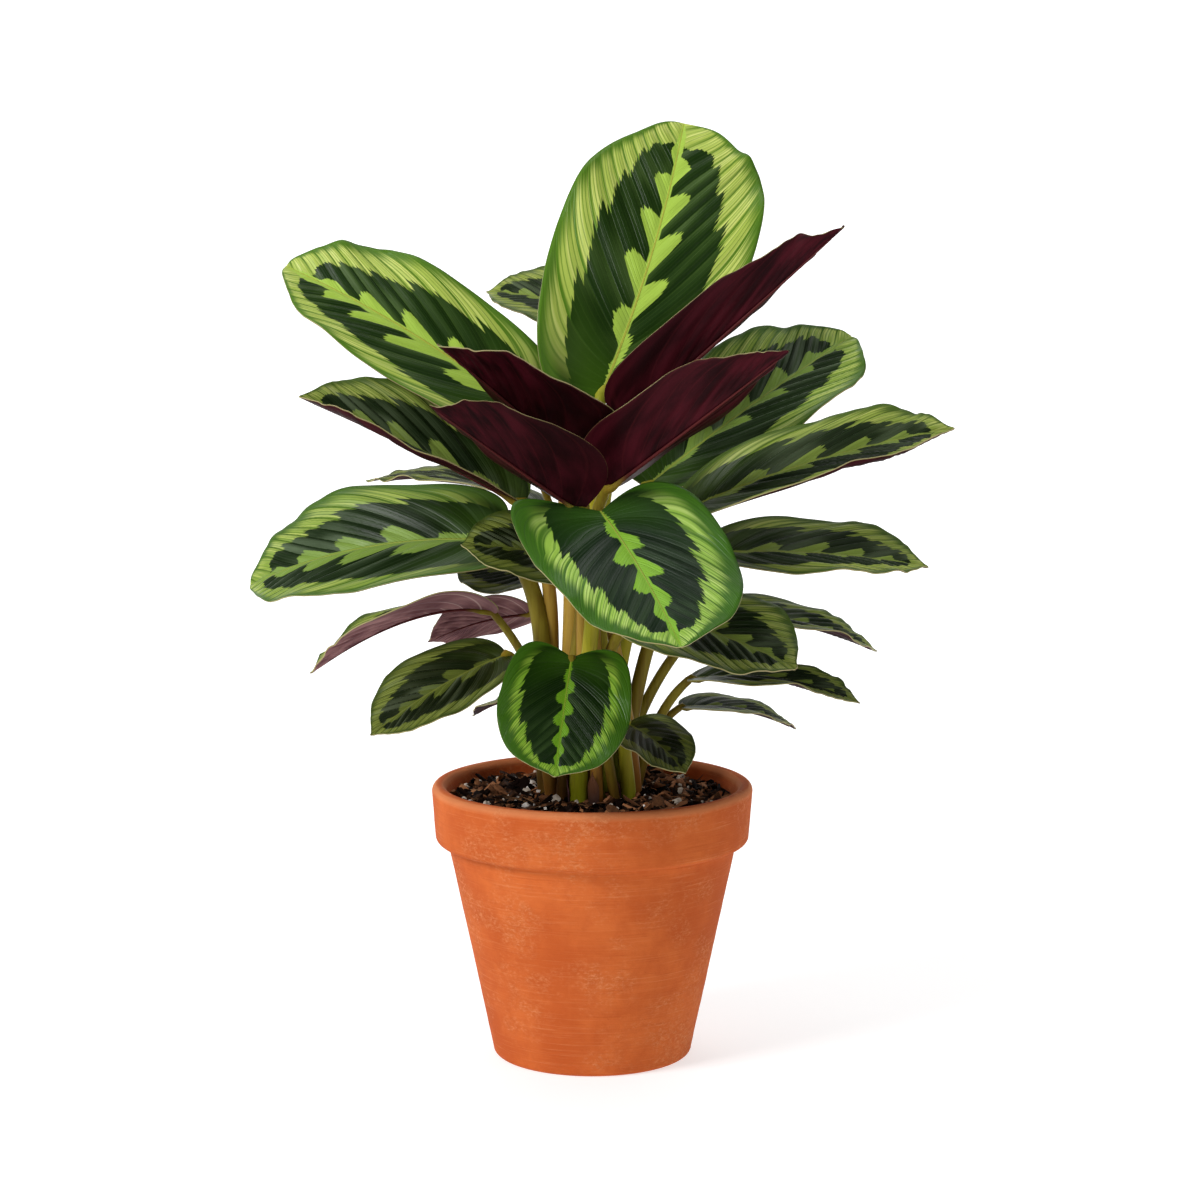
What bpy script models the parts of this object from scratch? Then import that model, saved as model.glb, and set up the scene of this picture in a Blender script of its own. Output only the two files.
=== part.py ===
"""Potted calathea: a terracotta pot, its soil, and twenty-nine leaves on their petioles.

Metres, +Z up. The origin is on the surface that the pot stands on, at the pot's axis.
-Y is the front of the plant, +X its right-hand side.
"""

import math

import bmesh
import bpy
from mathutils import Vector
from mathutils.geometry import interpolate_bezier

# ---- driving dimensions ---------------------------------------------------------------
POT_HEIGHT = 0.129
RIM_RADIUS = 0.075
BAND_HEIGHT = 0.0275
BAND_TAPER = 0.0017
BAND_STEP = 0.0062
BASE_RADIUS = 0.0467
LIP_WIDTH = 0.0068
WALL = 0.0065
FLOOR_THICKNESS = 0.009
DRAIN_RADIUS = 0.010
POT_EDGE = 0.003
NECK_DROP = 0.002
NECK_STEP = 0.001
POT_STEPS = 40

SOIL_TOP = 0.1215
SOIL_CROWN = 0.0015
SOIL_LUMP = 0.0008
LUMPS_ACROSS = 190.0
LUMPS_DEEP = 170.0
SOIL_STEPS = 32
SOIL_RINGS = (0.0, 0.17, 0.33, 0.5, 0.67, 0.84)
SOIL_SIDE_GAP = 0.0007

GAP = 0.0003
BLADE_THICKNESS = 0.001
BLADE_CELLS_LONG = 10
BLADE_CELLS_WIDE = 6
PETIOLE_RADIUS = 0.0027
PETIOLE_TOP_RADIUS = 0.0016
PETIOLE_SIDES = 6
PETIOLE_POINTS = 9
ROOT_DEPTH = 0.010
SOCKET_SIDES = 8

# Each petiole leaves the soil from one of three rings of the clump.
INNER_RING = 0.005
MIDDLE_RING = 0.0125
OUTER_RING = 0.0205

# A petiole rises before it leans out, and comes in under the blade's foot.
LEAN = 0.22
LIFT = 0.45
ARRIVAL = 0.3
LONGEST_ARRIVAL = 0.05
BLADE_PULL = 0.6
SPAN_PULL = 0.8

# The blade's veins sweep forward, its tip is drawn out, and its margin has a slow wave.
VEIN_SWEEP = 0.5
VEIN_CURVE = 1.15
LOBE_REACH = 0.42
LOBE_FULLNESS = 0.6
SKEW_SPREAD = 0.8
TIP_PINCH = 0.30
PINCH_START = 0.84
DRAWN_START = 0.86
MARGIN_WAVE = 0.03
WAVE_COUNT = 5.0
WAVE_OFFSET = 1.9

# The four youngest leaves still stand up, half rolled, and show their maroon undersides.
YOUNG_LEAVES = ("leaf_04", "leaf_05", "leaf_06", "leaf_07")


class Leaf:
    """One leaf: where its blade starts and ends, how the blade is shaped, where it is rooted.

    base, tip: ends of the midrib; face: the way the top surface looks
    ring, angle: the petiole's place in the clump (angle in degrees, 0 at +X, 90 at +Y)
    width: blade width over its length; arch: rise of the midrib over its length
    fold: how far each half turns up along the midrib, in degrees
    full: below 1 the outline is blunt, at 1 it is a pointed ellipse
    wide: below 1 the widest place moves towards the base
    lobe: how far the heart-shaped base reaches back; point: length of the drawn-out tip
    skew: how far one half is pushed forward; bow: sideways bend of the midrib
    tuck: drop of the petiole's end under the blade
    blunt: how much fuller the outline is on the +across half
    """

    def __init__(self, name, base, tip, face, ring, angle, width=0.5, arch=0.08, fold=10,
                 full=0.85, wide=1.0, lobe=0.03, point=0.06, skew=0.0, bow=0.0, peak=0.5,
                 tuck=0.0, blunt=0.0):
        self.name = name
        self.base = Vector(base)
        self.tip = Vector(tip)
        self.face = Vector(face)
        self.ring = ring
        self.angle = math.radians(angle)
        self.width = width
        self.arch = arch
        self.fold = math.radians(fold)
        self.full = full
        self.wide = wide
        self.lobe = lobe
        self.point = point
        self.skew = skew
        self.bow = bow
        self.peak = peak
        self.tuck = tuck
        self.blunt = blunt

    def axes(self):
        """Blade length and the unit vectors along it, across it and out of its top."""
        chord = self.tip - self.base
        length = chord.length
        along = chord / length
        up = (self.face - self.face.dot(along) * along).normalized()
        return length, along, along.cross(up), up

    def rise(self, place):
        """Height of the midrib over the chord, as a share of the length."""
        inside = min(max(place, 0.0), 1.0)
        bent = inside ** (math.log(0.5) / math.log(self.peak))
        return 4.0 * bent * (1.0 - bent) * self.arch

    def slope(self, place):
        """Slope of the midrib, held constant beyond its ends."""
        step = 0.001
        low = max(min(max(place, 0.0), 1.0) - step, 0.0)
        high = min(low + 2.0 * step, 1.0)
        return (self.rise(high) - self.rise(low)) / (high - low)

    def surface(self, along_midrib, across):
        """Point of the blade's middle surface.

        along_midrib runs from 0 at the base to 1 at the tip, across from -1 to 1.
        """
        length, forward, sideways, up = self.axes()
        out = abs(across)
        sign = 1.0 if across > 0.0 else -1.0 if across < 0.0 else 0.0
        ring = along_midrib ** VEIN_SWEEP
        edge = (1.0 - self.point) * 0.5 * (1.0 - math.cos(math.pi * ring))
        edge += self.point * ease(DRAWN_START, 1.0, ring) ** 2
        back = max(math.sin(math.pi * min(ring / LOBE_REACH, 1.0)), 0.0)
        edge -= self.lobe * back ** LOBE_FULLNESS
        edge += self.skew * sign * math.sin(math.pi * ring ** SKEW_SPREAD)
        full = self.full - (self.blunt if across > 0.0 else 0.0)
        half = 0.5 * self.width * math.sin(math.pi * ring ** self.wide) ** full
        half *= 1.0 - TIP_PINCH * ease(PINCH_START, 1.0, ring)
        place = along_midrib + (edge - along_midrib) * out ** VEIN_CURVE
        inside = min(max(place, 0.0), 1.0)
        slope = self.slope(place)
        height = self.rise(place) + slope * (place - inside)
        pitch = math.atan(slope)
        normal = math.cos(pitch) * up - math.sin(pitch) * forward
        reach = half * out * length
        wave = MARGIN_WAVE * self.width * length * (2.0 * half * out / self.width) ** 2
        wave *= math.sin(math.pi * WAVE_COUNT * along_midrib + (WAVE_OFFSET if sign > 0.0 else 0.0))
        bow = self.bow * 4.0 * inside * (1.0 - inside) * length
        point = self.base + place * length * forward + height * length * up
        point += (sign * reach * math.cos(self.fold) + bow) * sideways
        point += (reach * math.sin(self.fold) + wave) * normal
        return point

    def path(self):
        """Points of the petiole, from its root in the soil to the blade."""
        root = Vector((self.ring * math.cos(self.angle), self.ring * math.sin(self.angle), 0.0))
        collar = root + Vector((0.0, 0.0, SOIL_TOP + 2.0 * SOIL_CROWN))
        root.z = SOIL_TOP - ROOT_DEPTH
        _, _, _, up = self.axes()
        end = self.base - self.tuck * up
        span = end - collar
        leave = (self.surface(0.02, 0.0) - self.surface(0.0, 0.0)).normalized()
        arrive = (BLADE_PULL * leave + SPAN_PULL * span.normalized()).normalized()
        end -= (2.0 * GAP + 0.5 * BLADE_THICKNESS) * arrive
        lift = Vector((LEAN * span.x, LEAN * span.y, LIFT * span.z))
        pull = min(ARRIVAL * span.length, LONGEST_ARRIVAL) * arrive
        bend = interpolate_bezier(collar, collar + lift, end - pull, end, PETIOLE_POINTS)
        return [root] + bend


LEAVES = [
    Leaf("leaf_01", (0.004, 0.020, 0.308), (0.044, 0.085, 0.435), (0.05, -0.966, 0.436), INNER_RING, 60,
         width=0.64, full=0.7, wide=1.18, fold=8, arch=0.03, skew=0.08, bow=0.025, blunt=0.24),
    Leaf("leaf_02", (-0.022, 0.015, 0.293), (-0.143, 0.030, 0.368), (0.25, -0.852, 0.621), MIDDLE_RING, 216,
         width=0.47, full=0.72, fold=16, arch=0.065),
    Leaf("leaf_03", (0.019, 0.078, 0.335), (-0.052, 0.100, 0.354), (0, -0.531, 0.847), MIDDLE_RING, 324,
         width=0.62, fold=10, tuck=0.002),
    Leaf("leaf_04", (-0.007, -0.015, 0.279), (-0.067, -0.070, 0.337), (0.54, 0.616, 0.574), OUTER_RING, 228,
         width=0.68, fold=25, arch=0.02, wide=0.6, full=1),
    Leaf("leaf_05", (0.015, -0.010, 0.299), (0.111, -0.050, 0.388), (-0.4, 0.698, 0.544), INNER_RING, 330,
         width=0.32, fold=40, arch=0, wide=0.7, full=1),
    Leaf("leaf_06", (0.006, -0.030, 0.269), (0.085, -0.085, 0.335), (-0.35, 0.782, 0.391), MIDDLE_RING, 252,
         width=0.46, fold=38, arch=0, wide=0.7, full=1),
    Leaf("leaf_07", (-0.005, -0.045, 0.261), (-0.069, -0.095, 0.312), (0.35, 0.785, 0.443), OUTER_RING, 252,
         width=0.55, fold=38, arch=0, wide=0.65, full=1),
    Leaf("leaf_08", (-0.032, 0.000, 0.260), (-0.132, -0.025, 0.311), (0.2, -0.489, 0.839), OUTER_RING, 156,
         width=0.48, fold=32, arch=0.02),
    Leaf("leaf_09", (-0.041, 0.005, 0.242), (-0.162, 0.030, 0.218), (-0.1, -0.609, 0.792), OUTER_RING, 180,
         width=0.56, tuck=0.002, full=0.62, fold=10, arch=0.09),
    Leaf("leaf_10", (-0.022, 0.070, 0.250), (-0.113, 0.110, 0.260), (0, -0.0786, 1.01), OUTER_RING, 84,
         width=0.34, fold=8),
    Leaf("leaf_11", (-0.006, -0.030, 0.232), (-0.058, -0.055, 0.247), (0.1, -0.699, 0.798), OUTER_RING, 276,
         width=0.7, fold=8, arch=0.1),
    Leaf("leaf_12", (-0.015, 0.040, 0.226), (-0.067, 0.075, 0.223), (0, -0.649, 0.795), OUTER_RING, 108,
         width=0.64, tuck=0.002, fold=8, arch=-0.06),
    Leaf("leaf_13", (0.004, -0.055, 0.262), (0.038, -0.127, 0.212), (0.1, -0.812, 0.604), OUTER_RING, 348,
         width=0.88, full=0.64, lobe=0.25, fold=3, arch=0.06, point=0.05, tuck=0.003, skew=-0.12),
    Leaf("leaf_14", (-0.046, -0.020, 0.212), (-0.127, -0.045, 0.188), (0, 0.18, 0.991), MIDDLE_RING, 180,
         width=0.44, fold=20, arch=0.11, peak=0.42),
    Leaf("leaf_15", (-0.028, 0.020, 0.206), (-0.078, 0.030, 0.191), (0, 0.742, 0.656), MIDDLE_RING, 144,
         width=0.5, fold=10),
    Leaf("leaf_16", (-0.039, -0.030, 0.194), (-0.098, -0.070, 0.164), (-0.2, -0.662, 0.689), OUTER_RING, 204,
         width=0.54, fold=10, arch=0.06),
    Leaf("leaf_17", (-0.009, -0.060, 0.197), (-0.016, -0.100, 0.151), (0, -0.877, 0.449), OUTER_RING, 300,
         width=0.96, full=0.68, lobe=0.16, fold=3, arch=0.05, point=0.05),
    Leaf("leaf_18", (-0.021, 0.022, 0.166), (-0.058, 0.055, 0.151), (0, -0.244, 1.02), OUTER_RING, 132,
         width=0.35),
    Leaf("leaf_19", (0.016, -0.019, 0.160), (0.042, -0.060, 0.145), (0.1, -0.662, 0.736), OUTER_RING, 324,
         width=0.6, full=0.75, fold=8, arch=0.08, lobe=0.02),
    Leaf("leaf_20", (0.025, 0.026, 0.265), (0.125, 0.080, 0.333), (-0.45, -0.709, 0.556), MIDDLE_RING, 72,
         width=0.58, full=0.72, fold=12, arch=0.02, skew=0.05, lobe=0, wide=1.12),
    Leaf("leaf_21", (0.041, 0.000, 0.256), (0.163, -0.030, 0.297), (-0.15, -0.524, 0.79), MIDDLE_RING, 288,
         width=0.35, full=0.75, fold=14, arch=0.045),
    Leaf("leaf_22", (0.052, 0.000, 0.237), (0.155, -0.005, 0.231), (0, -0.442, 0.881), MIDDLE_RING, 0,
         width=0.44, fold=10, arch=0.04),
    Leaf("leaf_23", (0.060, 0.010, 0.208), (0.136, 0.040, 0.185), (0, -0.288, 1.02), MIDDLE_RING, 36,
         width=0.45, fold=12, arch=0.05),
    Leaf("leaf_24", (0.019, -0.035, 0.213), (0.089, -0.090, 0.197), (0, -0.55, 0.835), INNER_RING, 240,
         width=0.6, full=0.7, fold=8, arch=0.06),
    Leaf("leaf_25", (0.046, 0.000, 0.178), (0.123, -0.020, 0.170), (0, -0.193, 1.01), OUTER_RING, 12,
         width=0.4, fold=8, arch=0.08),
    Leaf("leaf_26", (0.042, 0.010, 0.163), (0.097, 0.030, 0.149), (0, -0.194, 1.01), OUTER_RING, 36,
         width=0.42, fold=10, arch=0.08),
    Leaf("leaf_27", (-0.014, 0.025, 0.274), (-0.066, 0.040, 0.310), (0.3, -0.545, 0.743), MIDDLE_RING, 108,
         width=0.5),
    Leaf("leaf_28", (-0.025, 0.030, 0.269), (-0.081, 0.035, 0.310), (0.3, -0.239, 0.82), INNER_RING, 150,
         width=0.45),
    Leaf("leaf_29", (0.004, 0.055, 0.270), (0.014, 0.127, 0.270), (0, -0.0266, 1), OUTER_RING, 60,
         width=0.55),
]

TERRACOTTA = (0.62, 0.20, 0.075)
SOIL_BROWN = (0.035, 0.018, 0.010)
LEAF_GREEN = (0.045, 0.14, 0.035)
YOUNG_MAROON = (0.085, 0.010, 0.022)
PETIOLE_GREEN = (0.28, 0.27, 0.06)


def ease(low, high, value):
    """Smooth step from 0 at low to 1 at high."""
    share = min(max((value - low) / (high - low), 0.0), 1.0)
    return share * share * (3.0 - 2.0 * share)


def clear_scene():
    for item in list(bpy.data.objects):
        bpy.data.objects.remove(item, do_unlink=True)


def make_material(name, colour, roughness):
    material = bpy.data.materials.new(name)
    material.use_nodes = True
    shader = material.node_tree.nodes["Principled BSDF"]
    shader.inputs["Base Color"].default_value = (*colour, 1.0)
    shader.inputs["Roughness"].default_value = roughness
    shader.inputs["Metallic"].default_value = 0.0
    return material


def add_object(name, data, material):
    """Put a mesh or a curve in the scene as one named sub-part."""
    piece = bpy.data.objects.new(name, data)
    piece.data.materials.append(material)
    bpy.context.collection.objects.link(piece)
    return piece


def mesh_from(name, shape, sharp_degrees=None):
    """Turn a bmesh into a mesh, smooth-shaded where a sharp angle is given."""
    mesh = bpy.data.meshes.new(name)
    shape.to_mesh(mesh)
    shape.free()
    if sharp_degrees is not None:
        mesh.shade_smooth()
        mesh.set_sharp_from_angle(angle=math.radians(sharp_degrees))
    return mesh


def turn_profile(profile, steps):
    """Spin a closed outline of (radius, height) points about the Z axis."""
    shape = bmesh.new()
    corners = [shape.verts.new((radius, 0.0, height)) for radius, height in profile]
    edges = []
    for first, second in zip(corners, corners[1:] + corners[:1]):
        edges.append(shape.edges.new((first, second)))
    bmesh.ops.spin(shape, geom=corners + edges, cent=(0, 0, 0), axis=(0, 0, 1),
                   angle=math.tau, steps=steps, use_merge=True)
    bmesh.ops.remove_doubles(shape, verts=shape.verts, dist=0.00001)
    bmesh.ops.recalc_face_normals(shape, faces=shape.faces)
    return shape


def quarter(centre, radius, start, end, count=3):
    """Points of an arc in the turning plane, angles in degrees."""
    points = []
    for step in range(count + 1):
        turn = math.radians(start + (end - start) * step / count)
        points.append((centre[0] + radius * math.cos(turn), centre[1] + radius * math.sin(turn)))
    return points


def pot_inner_radius(height):
    """Radius of the pot's inner wall at a height."""
    top = RIM_RADIUS - LIP_WIDTH
    foot = BASE_RADIUS - WALL
    share = (height - FLOOR_THICKNESS) / (POT_HEIGHT - FLOOR_THICKNESS)
    return foot + (top - foot) * share


def build_pot(material):
    """One fired piece: tapered body, rolled rim band, flat floor with a drain hole."""
    band_foot = POT_HEIGHT - BAND_HEIGHT
    edge = POT_EDGE
    lip = LIP_WIDTH / 2.0
    band_radius = RIM_RADIUS - BAND_TAPER
    body_radius = band_radius - BAND_STEP
    profile = [(DRAIN_RADIUS, 0.0)]
    profile += quarter((BASE_RADIUS - edge, edge), edge, -90, 0)
    profile.append((body_radius, band_foot - NECK_DROP))
    profile.append((body_radius + NECK_STEP, band_foot))
    profile += quarter((band_radius - edge, band_foot + edge), edge, -90, 0)
    profile += quarter((RIM_RADIUS - lip, POT_HEIGHT - lip), lip, 0, 180, 6)
    profile.append((pot_inner_radius(FLOOR_THICKNESS + edge), FLOOR_THICKNESS + edge))
    profile.append((pot_inner_radius(FLOOR_THICKNESS) - edge, FLOOR_THICKNESS))
    profile.append((DRAIN_RADIUS, FLOOR_THICKNESS))
    mesh = mesh_from("pot", turn_profile(profile, POT_STEPS), 35)
    return add_object("pot", mesh, material)


def soil_height(x, y):
    """Lumpy, slightly crowned top of the soil."""
    radius = math.hypot(x, y) / RIM_RADIUS
    lumps = math.sin(LUMPS_ACROSS * x + 1.3) * math.sin(LUMPS_DEEP * y + 0.4)
    return SOIL_TOP + SOIL_CROWN * (1.0 - radius * radius) + SOIL_LUMP * lumps


def build_soil(material, leaves):
    """The pot's fill, with a socket for each petiole."""
    foot = FLOOR_THICKNESS + GAP
    floor_radius = pot_inner_radius(FLOOR_THICKNESS) - POT_EDGE - SOIL_SIDE_GAP
    top_radius = pot_inner_radius(SOIL_TOP) - SOIL_SIDE_GAP
    shape = bmesh.new()
    profile = [(0.0, foot), (floor_radius, foot), (top_radius, SOIL_TOP)]
    profile += [(top_radius * share, SOIL_TOP) for share in reversed(SOIL_RINGS)]
    corners = [shape.verts.new((radius, 0.0, height)) for radius, height in profile]
    edges = [shape.edges.new(pair) for pair in zip(corners, corners[1:])]
    bmesh.ops.spin(shape, geom=corners + edges, cent=(0, 0, 0), axis=(0, 0, 1),
                   angle=math.tau, steps=SOIL_STEPS, use_merge=True)
    bmesh.ops.remove_doubles(shape, verts=shape.verts, dist=0.00001)
    bmesh.ops.recalc_face_normals(shape, faces=shape.faces)
    for corner in shape.verts:
        if corner.co.z > foot + GAP:
            corner.co.z = soil_height(corner.co.x, corner.co.y)
    soil = add_object("soil", mesh_from("soil", shape), material)
    sockets = bmesh.new()
    radius = (PETIOLE_RADIUS + GAP) / math.cos(math.pi / SOCKET_SIDES)
    depth = ROOT_DEPTH + GAP
    for leaf in leaves:
        root = leaf.path()[0]
        made = bmesh.ops.create_cone(sockets, cap_ends=True, segments=SOCKET_SIDES,
                                     radius1=radius, radius2=radius, depth=4.0 * depth)
        middle = SOIL_TOP - depth + 2.0 * depth
        bmesh.ops.translate(sockets, verts=made["verts"], vec=(root.x, root.y, middle))
    cutter = add_object("soil_sockets", mesh_from("soil_sockets", sockets), material)
    cutter.hide_render = True
    cutter.display_type = "WIRE"
    cut = soil.modifiers.new("sockets", "BOOLEAN")
    cut.operation = "DIFFERENCE"
    cut.solver = "EXACT"
    cut.object = cutter
    return soil


def build_blade(leaf, material):
    """A thin blade, bent from a flat grid and given its thickness."""
    shape = bmesh.new()
    bmesh.ops.create_grid(shape, x_segments=BLADE_CELLS_LONG, y_segments=BLADE_CELLS_WIDE,
                          size=1.0)
    for corner in shape.verts:
        share = 0.5 * (1.0 - math.cos(math.pi * 0.5 * (corner.co.x + 1.0)))
        corner.co = leaf.surface(min(max(share, 0.0), 1.0), corner.co.y)
    bmesh.ops.remove_doubles(shape, verts=shape.verts, dist=0.00002)
    piece = add_object(leaf.name, mesh_from(leaf.name, shape, 60), material)
    skin = piece.modifiers.new("thickness", "SOLIDIFY")
    skin.thickness = BLADE_THICKNESS
    skin.offset = 0.0
    return piece


def build_petiole(leaf, material):
    """A tapering round stalk from the soil to the blade."""
    name = leaf.name.replace("leaf", "petiole")
    curve = bpy.data.curves.new(name, "CURVE")
    curve.dimensions = "3D"
    curve.bevel_depth = PETIOLE_RADIUS
    curve.bevel_resolution = (PETIOLE_SIDES - 4) // 2
    curve.use_fill_caps = True
    points = leaf.path()
    spline = curve.splines.new("POLY")
    spline.points.add(len(points) - 1)
    taper = PETIOLE_TOP_RADIUS / PETIOLE_RADIUS
    for index, (knot, point) in enumerate(zip(spline.points, points)):
        knot.co = (*point, 1.0)
        knot.radius = 1.0 + (taper - 1.0) * max(index - 1, 0) / (len(points) - 2)
    return add_object(name, curve, material)


def main():
    clear_scene()
    build_pot(make_material("terracotta", TERRACOTTA, 0.85))
    build_soil(make_material("potting_soil", SOIL_BROWN, 0.95), LEAVES)
    green = make_material("leaf_green", LEAF_GREEN, 0.45)
    maroon = make_material("leaf_maroon", YOUNG_MAROON, 0.5)
    stalk = make_material("petiole_green", PETIOLE_GREEN, 0.5)
    for leaf in LEAVES:
        build_blade(leaf, maroon if leaf.name in YOUNG_LEAVES else green)
        build_petiole(leaf, stalk)


main()
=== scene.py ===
"""Looks of the potted calathea: patterned blades, petioles, soil and fired clay.

Metres, +Z up, the pot standing on z = 0, -Y the front. Each class below builds one
sub-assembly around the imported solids, dresses it and hides the solids it stands for.
"""

from __future__ import annotations

import logging
import math
import random
from dataclasses import dataclass, field
from enum import Enum
from typing import Any, Callable, Iterable

import bmesh
import bpy
from mathutils import Matrix, Vector, noise
from mathutils.geometry import interpolate_bezier


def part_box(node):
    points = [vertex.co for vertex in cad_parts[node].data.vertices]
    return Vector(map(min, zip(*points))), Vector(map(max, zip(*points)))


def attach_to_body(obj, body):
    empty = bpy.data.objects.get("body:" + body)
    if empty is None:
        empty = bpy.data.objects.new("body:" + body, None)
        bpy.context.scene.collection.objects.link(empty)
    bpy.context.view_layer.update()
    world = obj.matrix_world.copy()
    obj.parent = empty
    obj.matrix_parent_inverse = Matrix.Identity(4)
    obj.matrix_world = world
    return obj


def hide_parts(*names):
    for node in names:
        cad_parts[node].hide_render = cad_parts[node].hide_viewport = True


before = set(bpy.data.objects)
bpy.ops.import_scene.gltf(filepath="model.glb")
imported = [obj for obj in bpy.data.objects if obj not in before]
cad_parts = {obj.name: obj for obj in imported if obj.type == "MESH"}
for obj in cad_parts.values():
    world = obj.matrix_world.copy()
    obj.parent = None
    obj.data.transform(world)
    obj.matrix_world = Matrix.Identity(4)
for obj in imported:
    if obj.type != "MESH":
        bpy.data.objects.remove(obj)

LOG = logging.getLogger("calathea")
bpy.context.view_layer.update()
Colour = tuple[float, float, float]
Maker = Callable[[bmesh.types.BMesh, random.Random, Matrix], list[bmesh.types.BMVert]]

# The clump of petioles leaves the soil from three rings, and starts a little under its top.
INNER_RING = 0.005
MIDDLE_RING = 0.0125
OUTER_RING = 0.0205
COLLAR_HEIGHT = 0.1245
ROOT_DEPTH = 0.010

# Rows of a blade: how they crowd at its base, and how they curve towards the tip.
VEIN_SWEEP = 0.5
VEIN_CURVE = 1.15

# Main ribs on each half of a blade, and how far those of the two halves are apart.
RIBS = 11.0
RIB_SHIFT = 0.35

# Blade lengths for which the heights of the top and the radii of the petiole are given.
RELIEF_LENGTH = 0.13
STALK_LENGTH = 0.12

# Faces round the turned pieces, and the distance under which points are one.
AROUND = 144
WELD = 0.00001


# ---- shader maths ---------------------------------------------------------------------
class Sock:
    """A shader value that adds Math nodes when it is used in an expression."""

    def __init__(self, bench: Bench, socket: bpy.types.NodeSocket) -> None:
        """Wrap a socket.

        Args:
            bench: the material the socket belongs to.
            socket: the output socket.
        """
        self.bench = bench
        self.socket = socket

    def __add__(self, other: Any) -> Sock:
        """Sum."""
        return self.bench.math("ADD", self, other)

    def __radd__(self, other: Any) -> Sock:
        """Sum, reflected."""
        return self.bench.math("ADD", other, self)

    def __sub__(self, other: Any) -> Sock:
        """Difference."""
        return self.bench.math("SUBTRACT", self, other)

    def __rsub__(self, other: Any) -> Sock:
        """Difference, reflected."""
        return self.bench.math("SUBTRACT", other, self)

    def __mul__(self, other: Any) -> Sock:
        """Product."""
        return self.bench.math("MULTIPLY", self, other)

    def __rmul__(self, other: Any) -> Sock:
        """Product, reflected."""
        return self.bench.math("MULTIPLY", other, self)

    def __abs__(self) -> Sock:
        """Size without sign."""
        return self.bench.math("ABSOLUTE", self)

    def fract(self) -> Sock:
        """What is left after the whole part."""
        return self.bench.math("FRACT", self)

    def over(self, limit: float) -> Sock:
        """1 where the value is greater than the limit, otherwise 0."""
        return self.bench.math("GREATER_THAN", self, limit)

    def ease(self, low: Any, high: Any) -> Sock:
        """Smooth step from 0 at low to 1 at high."""
        step = self.bench.node(
            "ShaderNodeMapRange",
            {"interpolation_type": "SMOOTHSTEP"},
            {"Value": self, "From Min": low, "From Max": high},
        )
        return Sock(self.bench, step.outputs["Result"])


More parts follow.
